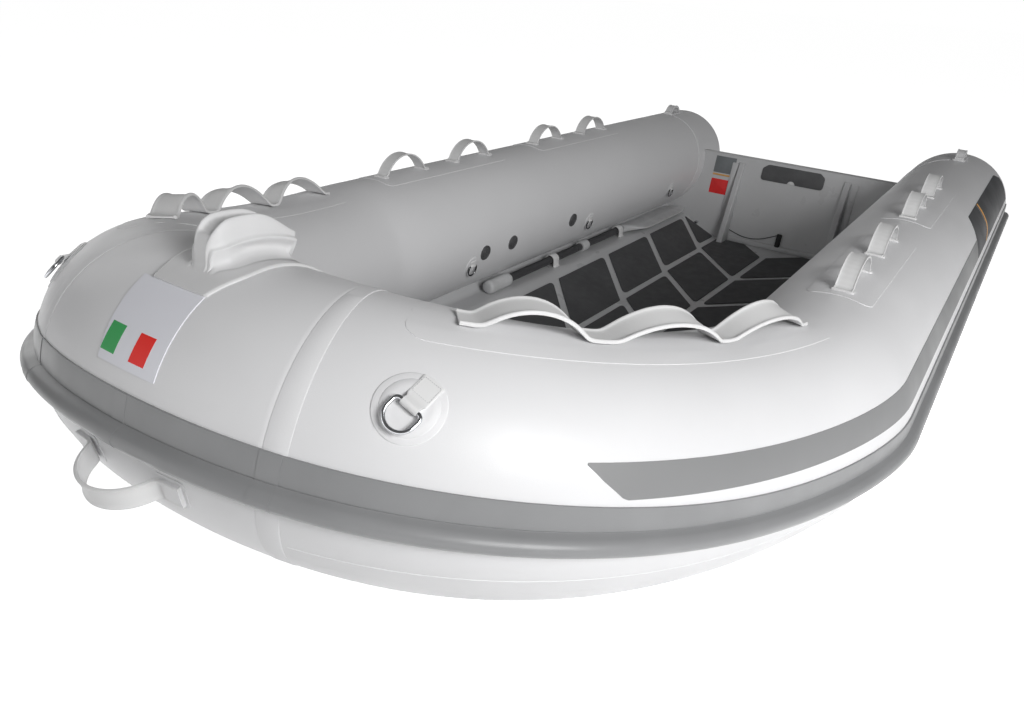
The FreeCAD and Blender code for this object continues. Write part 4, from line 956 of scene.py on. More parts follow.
def strap_heading(run):
    """Run whose heading the grab strap takes, and its outboard lean, greatest at the top of each arch."""
    before = (STRAP_FIRST, 0.400)
    for first, last, lean, _, shift in STRAP_ARCHES:
        start, end = 0.60 * first + 0.40 * last + shift, 0.40 * first + 0.60 * last + shift
        if run < first:
            part = (run - before[0]) / (first - before[0])
            return before[1] + (start - before[1]) * part, 0.0
        if run < last:
            part = (run - first) / (last - first)
            return start + (end - start) * part, lean * math.sin(math.pi * part)
        before = (last, end)
    return run, 0.0


def make_grab_straps():
    line = foot_line(STRAP_FIRST, 0.352, STRAP_ANGLE, STRAP_BASE)
    following = [arch[0] for arch in STRAP_ARCHES[1:]] + [STRAP_LAST]
    for (first, last, lean, height, _), next_foot in zip(STRAP_ARCHES, following):
        line += arch_line(first, last, STRAP_ANGLE, height, STRAP_BASE, lean)
        line += foot_line(last + 0.003, next_foot - 0.003, STRAP_ANGLE, STRAP_BASE)
    line = relaxed(resampled(line, 0.006), 5)
    profile = strap_profile(0.054, 0.0036, 0.0030)
    strap = swept_strap(line, STRAP_ANGLE, (STRAP_FIRST, STRAP_LAST), profile, strap_heading)
    both(strap, "grab_strap", web_smooth, "white_webbing", ["grab_strap"], sharp=55)


# Angle round the tube, run of the middle and half span of both kinds of handles
BOW_HANDLE = (-12.5, 0.007, 0.060)
STERN_HANDLE = (89.0, 3.512, 0.044)


def make_bow_handle():
    angle, middle, reach = BOW_HANDLE
    profile = strap_profile(0.038, 0.0034, 0.0022)
    handle = arched_strap(middle - reach, middle + reach, angle, 0.060, 0.0040, 0.034, profile)
    handle.piece("bow_handle_webbing", web_smooth, "white_webbing", ["bow_handle"], sharp=50)
    feet = Shape()
    for side in (-1, 1):
        foot = middle + side * (reach + 0.016)
        feet.join(rounded_patch(foot, angle, 0.030, 0.0255, 0.010, 0.0012))
        feet.join(rounded_patch(foot + side * 0.005, angle, 0.017, 0.0195, 0.004, 0.0072, step=0.008))
    feet.piece("bow_handle_feet", cloth_patch, "white_webbing", sharp=60)


def make_stern_handles():
    """Low moulded handles on top of the tubes near the stern."""
    angle, middle, reach = STERN_HANDLE
    profile = strap_profile(0.034, 0.0095, 0.0016)
    handle = arched_strap(middle - reach, middle + reach, angle, 0.026, 0.0065, 0.010, profile, step=0.004)
    base = rounded_patch(middle, angle, 0.062, 0.025, 0.012, 0.0050, step=0.008)
    both(handle, "stern_handle_grip", rubber_white, "white_rubber", sharp=50)
    work = both(base, "stern_handle_base", rubber_white, "white_rubber", sharp=60)[0]
    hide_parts("stern_handles")


def dress(name, material, bevel=0.0, smooth_angle=35.0):
    """A carried-over node with a node material and softened edges."""
    work = nodes[name]
    work.data.materials.clear()
    work.data.materials.append(material)
    for polygon in work.data.polygons:
        polygon.material_index = 0
        polygon.use_smooth = True
    work.data.set_sharp_from_angle(angle=math.radians(smooth_angle))
    if bevel > 0:
        weld = work.modifiers.new("weld", "WELD")
        weld.merge_threshold = 0.00002
        edge = work.modifiers.new("edge", "BEVEL")
        edge.width = bevel
        edge.segments = 2
        edge.limit_method = "ANGLE"
        edge.angle_limit = math.radians(40)
    return work


# Bow chock, badge and colour blocks


def chock_station(share):
    """Height and half outline of the chock at a share of its length from the nose."""
    rise = math.sin(0.5 * math.pi * min(1.0, share / 0.32)) ** 0.62
    fall = 1.0 - 0.32 * smooth((share - 0.52) / 0.48)
    top = 0.006 + (0.0635 * rise) * fall
    fin = smooth((share - 0.16) / 0.34)
    spread = 0.62 + 0.38 * smooth(share / 0.22)
    cut = 0.0078 * smooth((share - 0.12) / 0.06) * (1.0 - 0.7 * smooth((share - 0.86) / 0.14))
    fin_height = min(0.84 * top, 0.033 + 0.006 * share)
    outline = [
        (0.0, top - cut), (0.0105, top - cut), (0.0128, top - 0.6 * cut), (0.0142, top),
        (0.0165, top + 0.0008), (0.0190, top - 0.001), (0.0208, top - 0.006 - 0.002 * fin),
        (0.0225, fin_height + 0.001 * fin), (0.0262, fin_height + 0.0008 * fin), (0.0285, fin_height - 0.003),
        (0.0280 - 0.0035 * fin, fin_height - 0.006 * fin - 0.002), (0.0265 - 0.0095 * fin, fin_height * 0.60),
        (0.0270 - 0.0095 * fin, fin_height * 0.42), (0.0285 - 0.006 * fin, fin_height * 0.26 + 0.002),
        (0.0315 - 0.002 * fin, 0.0075), (0.037, 0.0056), (0.044, 0.0050),
    ]
    return [(y * spread, max(0.0035, h)) for y, h in outline]


def skirt_half(cross):
    """Half width of the skirt at an arc length round the tube."""
    return 0.050 + 0.018 * smooth((math.degrees(cross / TUBE_RADIUS) - 62.0) / 24.0)


def make_chock():
    first, last = 90.0 - math.degrees(0.050 / TUBE_RADIUS), 90.0 + math.degrees(0.097 / TUBE_RADIUS)
    body = Shape()
    sections = []
    for share in span(0.0, 1.0, 41):
        angle = first + (last - first) * share
        row = []
        for y, h in whole(chock_station(share)):
            lean = 0.10 * max(0.0, h - 0.02) / TUBE_RADIUS
            knurl = 0.0
            if abs(y) < 0.011 and 0.06 < share < 0.92:
                knurl = 0.0011 * math.sin(share * 2 * math.pi * 17)
            row.append(tube_point(y, angle + math.degrees(lean) * (2 * share - 1), TUBE_RADIUS + h + knurl))
        sections.append(row)
    nose = [tube_point(y, first - 2.5, TUBE_RADIUS + 0.0035) for y, h in whole(chock_station(0.0))]
    tail = []
    for y, h in whole(chock_station(1.0)):
        tail.append(tube_point(y * 0.8, last + 0.6, TUBE_RADIUS + 0.0035 + max(0.0, h - 0.0035) * 0.15))
    body.grid([nose] + sections + [tail])
    skirt = film(
        lambda position, cross, height: on_tube(position, cross, height if height > 0 else -0.0005),
        arc(64.6), arc(142.0), lambda c: -skirt_half(c), skirt_half, 0.0042, 0.008, rim=0.0016, corner=0.005,
    )
    body.piece("chock_body", rubber_white, "white_rubber", ["bow_chock"], sharp=180, levels=1)
    skirt.piece("chock_skirt", rubber_white, "white_rubber", sharp=75)


BADGE_LOW, BADGE_HIGH, BLOCK_LOW, BLOCK_HIGH = 27.5, 65.0, 31.0, 43.0


def make_badge():
    low, high = arc(BADGE_LOW), arc(BADGE_HIGH)

    def share(cross):
        return (cross - low) / (high - low)

    badge = film(
        on_tube, low, high,
        lambda c: -0.049 - 0.020 * share(c), lambda c: 0.053 - 0.004 * share(c), 0.0012, 0.012, corner=0.003,
    )
    badge.piece("badge_patch", cloth_badge, "badge", ["bow_badge"], sharp=60)
    for name, near, far, paint in (
        ("badge_block_port", 0.004, 0.031, cloth_red),
        ("badge_block_starboard", -0.050, -0.023, cloth_green),
    ):
        block = film(
            lambda position, cross, height: on_tube(position, cross, height if height > 0 else 0.0005),
            arc(BLOCK_LOW), arc(BLOCK_HIGH), lambda c: near, lambda c: far, 0.0013, 0.01, rim=0.0003,
        )
        work = block.piece(name, paint, "badge_block", sharp=60)
        if name == "badge_block_port":
            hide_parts("badge_blocks")


# Rings


def round_sweep(line, radius, closed, sides=14):
    """Round bar along a line of points."""
    shape = Shape()
    count = len(line)
    sections = []
    reference = None
    for index, point in enumerate(line):
        before = line[index - 1] if (closed or index) else point
        after = line[(index + 1) % count] if (closed or index < count - 1) else point
        tangent = (after - before).normalized()
        if reference is None:
            reference = tangent.orthogonal().normalized()
        reference = (reference - tangent * reference.dot(tangent)).normalized()
        other = tangent.cross(reference)
        sections.append([point + reference * a + other * b for a, b in circle(radius, sides)])
    shape.grid(sections, around=True, along=closed, caps=not closed)
    return shape


def d_ring_line(half, side, corner, place):
    """D shaped centre line: bar through the origin, bow towards +X."""
    line = []
    for y in span(-(half - corner), half - corner, 9)[:-1]:
        line.append((0.0, y))
    for turn in span(0.0, math.pi / 2, 7)[:-1]:
        line.append((corner - corner * math.cos(turn), half - corner + corner * math.sin(turn)))
    far = corner + side
    for x in span(corner, far, 4)[:-1]:
        line.append((x, half))
    for turn in span(math.pi / 2, -math.pi / 2, 25)[:-1]:
        line.append((far + half * math.cos(turn), half * math.sin(turn)))
    for x in span(far, corner, 4)[:-1]:
        line.append((x, -half))
    for turn in span(math.pi / 2, 0.0, 7)[:-1]:
        line.append((corner - corner * math.cos(turn), -(half - corner) - corner * math.sin(turn)))
    return [place @ Vector((x, y, 0)) for x, y in line]


TOW_RUN, TOW_ANGLE, TOW_TURN = 0.304, 44.0, 59.0
TOW_BAR_HEIGHT, TOW_BAR_RADIUS = 0.009, 0.003
TAB_HALF, TAB_FOLD, TAB_SQUEEZE = 0.0172, 0.0056, 13.6 / 17.2
STITCH_PITCH, STITCH_RADIUS = 0.0035, 0.00035


def make_towing():
    place = surface_frame(TOW_RUN, TOW_ANGLE, TOW_TURN, TOW_BAR_HEIGHT)
    ring = round_sweep(d_ring_line(0.0225, 0.009, 0.0075, place), TOW_BAR_RADIUS, True, 18)
    for made, side in ((ring, "port"), (ring.mirror(), "starboard")):
        name = "tow_ring_" + side
        made.piece("tow_ring_steel_" + side, steel, "steel", [name], sharp=180, body="ring_" + side)
    patch = disc_patch(TOW_RUN, TOW_ANGLE, 0.050, 0.0012, TOW_TURN)
    patch.join(disc_patch(TOW_RUN, TOW_ANGLE, 0.0405, 0.0024, TOW_TURN))
    both(patch, "tow_patch_cloth", cloth_patch, "white_webbing", ["tow_patch"], sharp=60)
    tab = Shape()
    half = TAB_HALF
    rows = []
    profile = [(-0.047, 0.0018), (-0.0465, 0.0034), (-0.044, 0.0039), (-0.020, 0.0039)]
    profile += [(-0.0135, 0.0048), (-0.0085, 0.0090)]
    profile += part_circle(TAB_FOLD, TOW_BAR_HEIGHT, 150.0, -95.0, 12)
    profile += [(-0.009, 0.0030), (-0.020, 0.0022), (-0.046, 0.0016)]
    for y in (-half, -half + 0.0006, -half + 0.003, -0.006, 0.006, half - 0.003, half - 0.0006, half):
        thin = 0.92 if abs(y) >= half else 1.0
        row = []
        for x, z in profile:
            width = y if x < -0.012 else y * TAB_SQUEEZE
            row.append(surface_point(TOW_RUN, TOW_ANGLE, x, width, z * thin, TOW_TURN))
        rows.append(row)
    tab.grid(rows, around=True, caps=True)
    both(tab, "tow_tab", web_smooth, "white_webbing", sharp=45)
    stitches = Shape()
    aft, fore, side = -0.043, -0.0185, 0.0145
    seams = [(aft, -side, aft, side), (fore, -side, fore, side)]
    seams += [(aft, -side, fore, -side), (aft, side, fore, side)]
    for x0, y0, x1, y1 in seams:
        length = math.hypot(x1 - x0, y1 - y0)
        count = int(length / STITCH_PITCH)
        for k in range(count):
            a, b = (k + 0.15) / count, (k + 0.80) / count
            ends = [(x0 + (x1 - x0) * t, y0 + (y1 - y0) * t) for t in (a, 0.5 * (a + b), b)]
            line = [
                surface_point(TOW_RUN, TOW_ANGLE, x, y, z, TOW_TURN)
                for (x, y), z in zip(ends, (0.0037, 0.0043, 0.0037))
            ]
            stitches.join(round_sweep(line, STITCH_RADIUS, False, 6))
    both(stitches, "tow_stitches", web_grey, "white_webbing", sharp=180)


LASHING_RUNS, LASHING_ANGLE, LASHING_BAR_HEIGHT = (1.629, 2.383, 3.134), 197.0, 0.005
VALVE_RUNS, VALVE_ANGLE, VALVE_SIDES = (1.690, 1.846, 2.241), 188.5, 40
# Radius and height down the valve's rim and its cap
VALVE_RIM = (
    (0.0250, -0.004), (0.0250, 0.0014), (0.0242, 0.0026), (0.0214, 0.0030), (0.0208, 0.0022),
    (0.0196, 0.0022), (0.0190, 0.0032), (0.0168, 0.0034), (0.0162, 0.0026),
)
VALVE_CAP = (
    (0.0160, 0.0020), (0.0158, 0.0044), (0.0150, 0.0050), (0.0116, 0.0050), (0.0110, 0.0040),
    (0.0088, 0.0040), (0.0082, 0.0048), (0.0030, 0.0048), (0.0003, 0.0048),
)


def make_inner_fittings():
    rings, tabs, patches, valves, caps = Shape(), Shape(), Shape(), Shape(), Shape()
    for run in LASHING_RUNS:
        base = surface_frame(run, LASHING_ANGLE, -90.0)
        lifted = base @ Matrix.Translation((0, 0, LASHING_BAR_HEIGHT))
        place = lifted @ Matrix.Rotation(math.radians(-6), 4, "Y")
        rings.join(round_sweep(d_ring_line(0.019, 0.009, 0.005, place), 0.0025, True, 12))
        patches.join(disc_patch(run, LASHING_ANGLE, 0.031, 0.0012))
        rows = []
        profile = [(-0.016, 0.0010), (-0.0155, 0.0036), (-0.005, 0.0042)]
        profile += part_circle(0.0036, LASHING_BAR_HEIGHT, 150.0, -60.0, 8)
        profile += [(-0.005, 0.0012)]
        for y in (-0.0125, -0.012, 0.0, 0.012, 0.0125):
            thin = 0.9 if abs(y) > 0.0122 else 1.0
            rows.append([base @ Vector((x, y, z * thin)) for x, z in profile])
        tabs.grid(rows, around=True, caps=True)
    for run in VALVE_RUNS:
        base = surface_frame(run, VALVE_ANGLE)
        for shape, steps in ((valves, VALVE_RIM), (caps, VALVE_CAP)):
            rows = [ring_points(base, radius, height, VALVE_SIDES) for radius, height in steps]
            shape.grid(rows, around=True)
        for turn in (0.5, 1.4):
            c, d = math.cos(turn) * 0.0135, math.sin(turn) * 0.0135
            bar = [base @ Vector((k * c, k * d, 0.0049)) for k in (-1, 0, 1)]
            caps.join(round_sweep(bar, 0.0010, False, 8))
    # The lashing rings take the darker steel, whose colour holds painted shade.
    double(rings).piece("lashing_ring_steel", steel_painted_shade, "steel", ["lashing_rings"], sharp=180)
    double(patches).piece("lashing_patches", cloth_patch, "white_webbing", ["lashing_tabs"], sharp=60)
    double(tabs).piece("lashing_webbing", web_smooth, "white_webbing", sharp=45)
    double(valves).piece("valve_rims", valve_plastic, "black_plastic", ["valves"], sharp=40)
    double(caps).piece("valve_caps", valve_plastic, "black_plastic", sharp=40)


# Deck and floor pads

DECK_CENTRE, DECK_SIDE, DECK_LEDGE = -0.094, -0.023, -0.013
KNUCKLE, KNUCKLE_SPREAD = 0.264, 0.045
DECK_INSET, HULL_FRONT = 0.066, 1.551
DECK_RISE_POWER, DECK_THICKNESS, TUBE_GAP = 1.1, 0.009, 0.0004


def inner_edge(x, inset):
    """Half width of the line set inside the tube centreline at x, and the tube height there."""
    if x <= SHOULDER_X:
        share = (x - TUBE_END_X) / (SHOULDER_X - TUBE_END_X)
        return STERN_HALF_BEAM + (HALF_BEAM - STERN_HALF_BEAM) * share - inset, TUBE_HEIGHT
    previous = None
    for step in range(BOW_STEPS, -1, -4):
        run = bow_runs[step]
        centre, _, outward, _ = section_axes(run)
        flat = Vector((outward.x, outward.y, 0)).normalized()
        point = centre - flat * inset
        if previous is not None and point.x >= x:
            part = (x - previous.x) / (point.x - previous.x)
            return previous.y + part * (point.y - previous.y), previous.z + part * (point.z - previous.z)
        previous = point
    return 0.0, previous.z


def deck_half(x):
    """Half section of the deck from the middle outwards."""
    edge_y, tube_z = inner_edge(x, DECK_INSET)
    width = edge_y / inner_edge(0.0, DECK_INSET)[0]
    knuckle = (KNUCKLE - KNUCKLE_SPREAD * (x - 0.35 * TUBE_END_X)) * width
    share = min(1.0, max(0.0, (x - SHOULDER_X) / (HULL_FRONT - SHOULDER_X)))
    lift = share**DECK_RISE_POWER
    under = math.sqrt(TUBE_RADIUS**2 - (BOW_X - HULL_FRONT) ** 2) + TUBE_GAP
    front = tube_z - under - 0.001
    pairs = [
        (0.0, DECK_CENTRE), (knuckle, DECK_CENTRE), (0.468 * width, DECK_SIDE),
        (0.498 * width, DECK_LEDGE), (0.574 * width, DECK_LEDGE),
    ]
    points = [(y, z + (front - z) * lift) for y, z in pairs]
    points.append((edge_y, tube_z - math.sqrt(TUBE_RADIUS**2 - DECK_INSET**2) - TUBE_GAP))
    return points


def rounded_line(points, trim):
    """Open line in a plane with each inner corner rounded."""
    out = [points[0]]
    for before, corner, after in zip(points[:-2], points[1:-1], points[2:]):
        a, b, c = Vector(before), Vector(corner), Vector(after)
        cut = min(trim, 0.45 * (a - b).length, 0.45 * (c - b).length)
        first = b + (a - b).normalized() * cut
        last = b + (c - b).normalized() * cut
        out += [tuple(point) for point in corner_curve(first, b, last, 6)]
    out.append(points[-1])
    return out


def transom_face_x(z):
    """Where the transom's raked inner face is at a height."""
    return TRANSOM_TOP_X + TRANSOM_RAKE * (TRANSOM_TOP - z)


def deck_height(x, y):
    """Height of the deck surface."""
    points = deck_half(x)
    y = abs(y)
    for (y0, z0), (y1, z1) in zip(points[:-1], points[1:]):
        if y <= y1:
            return z0 + (z1 - z0) * (y - y0) / max(1e-9, y1 - y0)
    return points[-1][1]


def make_deck():
    deck = Shape()
    rows = []
    stations = span(-1.43, 0.66, 20) + span(0.70, HULL_FRONT, 34)
    for x in stations:
        line = whole(rounded_line(deck_half(x), 0.014))
        aft = x < -1.40
        row = []
        for y, z in line:
            place = transom_face_x(z) if aft else x
            row.append(Vector((place, y, z)))
        under = [Vector((p.x, p.y * 0.998, p.z - DECK_THICKNESS)) for p in reversed(row)]
        rows.append(row + under)
    deck.grid(rows, around=True, caps=True)
    deck.piece("deck_moulding", deck_paint, "grey_gelcoat", ["deck"], sharp=30)


PAD_LINE, PAD_PITCH, PAD_SLOPE = 0.028, 0.403, 1.14
PAD_FIRST, PAD_AFT, PAD_FRONT, PAD_OUTER = -1.255, -1.392, 0.760, 0.452
PAD_SMALLEST, PAD_CORNER = 0.009, 0.014
NOTCH_LOW, NOTCH_HIGH, NOTCH_FRONT = 0.229, 0.261, -1.3245


def clipped(corners, limit, forward):
    """The part of an outline on one side of x = limit."""
    kept = []
    sign = 1.0 if forward else -1.0
    for (x0, y0), (x1, y1) in looped(corners):
        inside0 = sign * (x0 - limit) >= 0
        inside1 = sign * (x1 - limit) >= 0
        if inside0:
            kept.append((x0, y0))
        if inside0 != inside1:
            part = (limit - x0) / (x1 - x0)
            kept.append((limit, y0 + part * (y1 - y0)))
    return kept


def plan_area(corners):
    """Area inside an outline, negative when it runs clockwise."""
    return sum(x0 * y1 - x1 * y0 for (x0, y0), (x1, y1) in looped(corners)) / 2.0


def pad_outlines():
    half = 0.5 * PAD_LINE
    step = half * math.sqrt(1.0 + PAD_SLOPE**2)
    outlines = []
    for index in range(-1, int((PAD_FRONT - PAD_AFT) / PAD_PITCH) + 4):
        aft = PAD_FIRST + PAD_PITCH * index
        front = aft + PAD_PITCH
        knuckle = KNUCKLE - KNUCKLE_SPREAD * (0.5 * (aft + front) - 0.35 * TUBE_END_X)
        for low, high in ((half, knuckle - half), (knuckle + half, PAD_OUTER)):
            corners = [
                (aft + step - PAD_SLOPE * low, low), (front - step - PAD_SLOPE * low, low),
                (front - step - PAD_SLOPE * high, high), (aft + step - PAD_SLOPE * high, high),
            ]
            corners = clipped(corners, PAD_AFT, True)
            if len(corners) > 2:
                corners = clipped(corners, PAD_FRONT, False)
            if len(corners) > 2 and abs(plan_area(corners)) > PAD_SMALLEST:
                outlines.append(corners)
    return outlines


def rounded_polygon(corners, radius, inset=0.0):
    """Plan outline with rounded corners, pulled inwards."""
    if plan_area(corners) < 0:
        corners = corners[::-1]
    points = [Vector(c) for c in corners]
    moved = []
    for before, corner, after in zip(points[-1:] + points[:-1], points, points[1:] + points[:1]):
        a = (corner - before).normalized()
        b = (after - corner).normalized()
        na, nb = Vector((-a.y, a.x)), Vector((-b.y, b.x))
        bisect = (na + nb).normalized()
        moved.append(corner + bisect * (inset / max(0.3, bisect.dot(na))))
    out = []
    for before, corner, after in zip(moved[-1:] + moved[:-1], moved, moved[1:] + moved[:1]):
        back = (before - corner).normalized()
        ahead = (after - corner).normalized()
        half_turn = 0.5 * (math.pi - back.angle(ahead))
        if half_turn < 0.02:
            out.append(corner)
            continue
        trim = max(0.002, radius - inset) * math.tan(half_turn)
        trim = min(trim, 0.45 * (before - corner).length, 0.45 * (after - corner).length)
        first, last = corner + back * trim, corner + ahead * trim
        out += corner_curve(first, corner, last, 7)
    return out


def rib_notch(corners):
    """Aft pads end short of the ribs: the plan outline with the rib's foot cut out."""
    low_y, high_y, front = NOTCH_LOW, NOTCH_HIGH, NOTCH_FRONT
    xs = [x for x, y in corners]
    ys = [y for x, y in corners]
    if min(xs) > front or not (min(ys) < low_y and max(ys) > high_y):
        return corners
    out = []
    for (x0, y0), (x1, y1) in looped(corners):
        out.append((x0, y0))
        if abs(x0 - PAD_AFT) < 1e-6 and abs(x1 - PAD_AFT) < 1e-6:
            sides = ((low_y, high_y) if y1 > y0 else (high_y, low_y))
            out += [(PAD_AFT, sides[0]), (front, sides[0]), (front, sides[1]), (PAD_AFT, sides[1])]
    return out


def make_pads():
    pads = Shape()
    for corners in pad_outlines():
        corners = rib_notch(corners)
        loops = []
        for inset, height in ((0.0, -0.0006), (0.0, 0.0030), (0.0009, 0.0039), (0.0022, 0.0040)):
            outline = rounded_polygon(corners, PAD_CORNER, inset)
            loops.append([Vector((p.x, p.y, deck_height(p.x, p.y) + height)) for p in outline])
        if len({len(loop) for loop in loops}) > 1:
            continue
        pads.join(stacked(loops))
    work = double(pads).piece("floor_foam_pads", pad_foam, "floor_pad", ["floor_pads"], sharp=35)


# Transom dressing


def raked(x, y, z):
    """Point at a height and a distance in front of the transom's inner face."""
    return Vector((transom_face_x(z) + x, y, z))


def plate(corners, radius, depth, bevel, paint, name, slot, replaced=(), base=0.0):
    """Thin rounded plate on the transom; corners are (y, z)."""
    loops = []
    for inset, out in ((0.0, 0.0), (0.0, depth - bevel), (0.3 * bevel, depth - 0.3 * bevel), (bevel, depth)):
        outline = rounded_polygon(corners, radius, inset)
        loops.append([raked(base + math.copysign(out, depth), p.x, p.y) for p in outline])
    return stacked(loops).piece(name, paint, slot, replaced, sharp=35)


def make_transom_dressing():
    dress("transom", deck_paint, smooth_angle=25.0)
    dress("transom_ribs", deck_paint, bevel=0.003)
    inner = [(-0.144, 0.209)] + part_circle(0.019, 0.2052, 168.0, 12.0, 9)
    inner += [(0.144, 0.209), (0.144, 0.262), (0.120, 0.280), (-0.120, 0.280), (-0.144, 0.262)]
    plate(inner, 0.016, 0.005, 0.0016, clamp_pad, "clamp_pad_inner", "motor_pad", ["motor_pad_inner"])
    dress("motor_pad_outer", clamp_pad, bevel=0.0015)
    mark = part_circle(0.0165, 0.2095, 180.0, 0.0, 11)
    plate(mark, 0.002, 0.0022, 0.0006, rubber_white, "clamp_pad_mark", "motor_pad")
    for side in (-1, 1):
        inner_y, outer_y = sorted((side * 0.262, side * 0.292))
        frame_rail = [(inner_y, -0.035), (outer_y, -0.028), (outer_y, 0.262), (inner_y, 0.262)]
        name = "rib_flange_port" if side > 0 else "rib_flange_starboard"
        plate(frame_rail, 0.006, 0.006, 0.003, deck_paint, name, "grey_gelcoat")
    kick = [(-0.226, -0.0935), (0.226, -0.0935), (0.226, -0.070), (-0.226, -0.070)]
    plate(kick, 0.004, 0.012, 0.005, deck_paint, "transom_kick_strip", "grey_gelcoat")
    for name, paint, low, high in (
        ("label_top", label_grey, 0.204, 0.280),
        ("label_strip", label_orange, 0.191, 0.199),
        ("label_low", label_red, 0.107, 0.175),
    ):
        corners = [(-0.378, low), (-0.277, low), (-0.277, high), (-0.378, high)]
        work = plate(corners, 0.002, 0.001, 0.0004, paint, name, "label")
        if name == "label_top":
            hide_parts("transom_labels")
    dress("corner_fittings", steel, bevel=0.0008)
    dress("bow_eye", steel)


PLUG_SIDE, PLUG_SIDES = 0.012, 24


def plug_profile():
    """Height and radius pairs down the plug, with grip rings."""
    pairs = [(-0.074, 0.006), (-0.0735, 0.0095), (-0.071, 0.0118)]
    for k in range(7):
        z = -0.068 + 0.007 * k
        pairs += [(z, 0.0125), (z + 0.0025, 0.0128), (z + 0.0045, 0.0112)]
    pairs += [(-0.020, 0.0128), (-0.0165, 0.0120), (-0.0145, 0.009), (-0.014, 0.005)]
    return pairs


def make_plug():
    plug = Shape()
    sections = []
    for z, radius in plug_profile():
        row = []
        for c, s in circle(1.0, PLUG_SIDES):
            row.append(raked(0.008 + 0.0075 * c * (radius / 0.013), PLUG_SIDE + radius * s, z))
        sections.append(row)
    plug.grid(sections, around=True, caps=True)
    plug.piece("plug_body", black_plastic, "black_plastic", ["drain_plug"], sharp=40)


LINE_START, LINE_END, LINE_SAG = (-0.231, -0.044), (-0.001, -0.024), 0.030


def make_lanyard():
    """The drain line on its route from the rib to the plug."""
    points = []
    (start_y, start_z), (end_y, end_z) = LINE_START, LINE_END
    for share in span(0.0, 1.0, 6):
        y = start_y + (end_y - start_y) * share
        z = start_z + (end_z - start_z) * share - LINE_SAG * 4.0 * share * (1.0 - share)
        points.append((transom_face_x(z) + 0.0026, y, z))
    curve = bpy.data.curves.new("drain_line", "CURVE")
    curve.dimensions = "3D"
    curve.bevel_depth = 0.002
    curve.bevel_resolution = 3
    curve.resolution_u = 12
    curve.use_fill_caps = True
    spline = curve.splines.new("NURBS")
    spline.points.add(len(points) - 1)
    for knot, point in zip(spline.points, points):
        knot.co = (*point, 1.0)
    spline.order_u = 3
    spline.use_endpoint_u = True
    work = add_object("drain_line", curve)
    curve.materials.append(line_dark)
    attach(work, BOAT)
    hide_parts("drain_lanyard")


# Oars

OAR_SIDE, OAR_LIFT, SHAFT_RADIUS = 0.537, 0.024, 0.0150
BLADE_START, BLADE_END = -0.846, -1.416
BLADE_ROOT, BLADE_HALF, BLADE_SIDES = 0.0182, 0.052, 32


def make_oars():
    y, z = OAR_SIDE, DECK_LEDGE + OAR_LIFT
    grip, shaft, blade = Shape(), Shape(), Shape()

    def turned(pairs, count=28):
        return [[Vector((x, y + a, z + b)) for a, b in circle(r, count)] for x, r in pairs]

    pairs = [(0.174, 0.004), (0.1738, 0.014), (0.171, 0.0195), (0.166, 0.0234), (0.158, 0.0250)]
    pairs += [(x, 0.0248 + 0.0004 * math.cos(i * 1.3)) for i, x in enumerate(span(0.150, 0.062, 10))]
    pairs += [(0.054, 0.0244), (0.047, 0.0232), (0.042, 0.0200), (0.041, 0.0146)]
    grip.grid(turned(pairs), around=True, caps=True)
    pairs = [(-0.480, 0.0146), (-0.4805, 0.0212), (-0.483, 0.0220)]
    pairs += [(-0.527, 0.0220), (-0.5295, 0.0212), (-0.530, 0.0146)]
    grip.grid(turned(pairs), around=True, caps=True)
    pairs = [(x, SHAFT_RADIUS) for x in [0.043] + span(0.03, -0.86, 12)] + [(-0.862, 0.0148)]
    shaft.grid(turned(pairs), around=True, caps=True)
    sections = []
    for share in span(0.0, 1.0, 34):
        x = BLADE_START + (BLADE_END - BLADE_START) * share
        spread = smooth(share / 0.22)
        half = BLADE_ROOT + (BLADE_HALF - BLADE_ROOT) * spread
        if share > 0.84:
            half *= 1.0 - 0.30 * smooth((share - 0.84) / 0.16)
        middle = y - 0.030 * smooth(share / 0.25)
        thick = 0.0180 * (1 - spread) + 0.0050 * spread
        if share > 0.96:
            thick *= 0.7
        row = []
        for c, s in circle(1.0, BLADE_SIDES):
            rib = 0.0022 * spread * (1 if s > 0 else -1) * max(0.0, 1.0 - (abs(c) / 0.25) ** 2)
            wide = math.copysign(abs(c) ** 0.8, c)
            lip = 0.0016 * spread * smooth((abs(c) - 0.86) / 0.1) * (1 if s > 0 else -1)
            tall = math.copysign(abs(s) ** 0.6, s)
            row.append(Vector((x, middle + half * wide, z + thick * tall + rib + lip)))
        sections.append(row)
    blade.grid(sections, around=True, caps=True)
    both(shaft, "oar_shaft", oar_dark, "oar", ["oar"], sharp=50)
    both(grip, "oar_grip", oar_light, "oar", sharp=50)
    both(blade, "oar_blade", oar_light, "oar", sharp=50)
    dress("oar_straps", web_white, bevel=0.0008)


# Camera, floor and light

CAMERA_YAW, CAMERA_PITCH, CAMERA_ROLL = -2.5784079, -0.4258768, 0.0730190
CAMERA_SPOT = (2.390459, 0.992875, 1.034803)
FOCAL_PIXELS, FRAME_WIDTH = 819.602, 1024
SHIFT_RIGHT, SHIFT_DOWN = 2.596, -9.598
SENSOR_WIDTH = 36.0
FLOOR_GLOW, FLOOR_REACH = 0.9, 40.0
WORLD_LIGHT = 0.12
# Name, place, target, size and power
LAMPS = (
    ("key", (2.1, 3.1, 1.9), (0.7, 0.3, 0.2), 1.6, 95.0),
    ("fill_stern", (-4.6, -1.8, 1.2), (-1.2, 0.0, 0.2), 2.4, 4.0),
    ("fill_starboard", (0.6, -3.6, 1.3), (0.2, -0.6, 0.2), 2.4, 20.0),
    ("fill_bow", (3.6, -1.2, 0.9), (1.5, 0.0, 0.25), 2.0, 12.0),
)


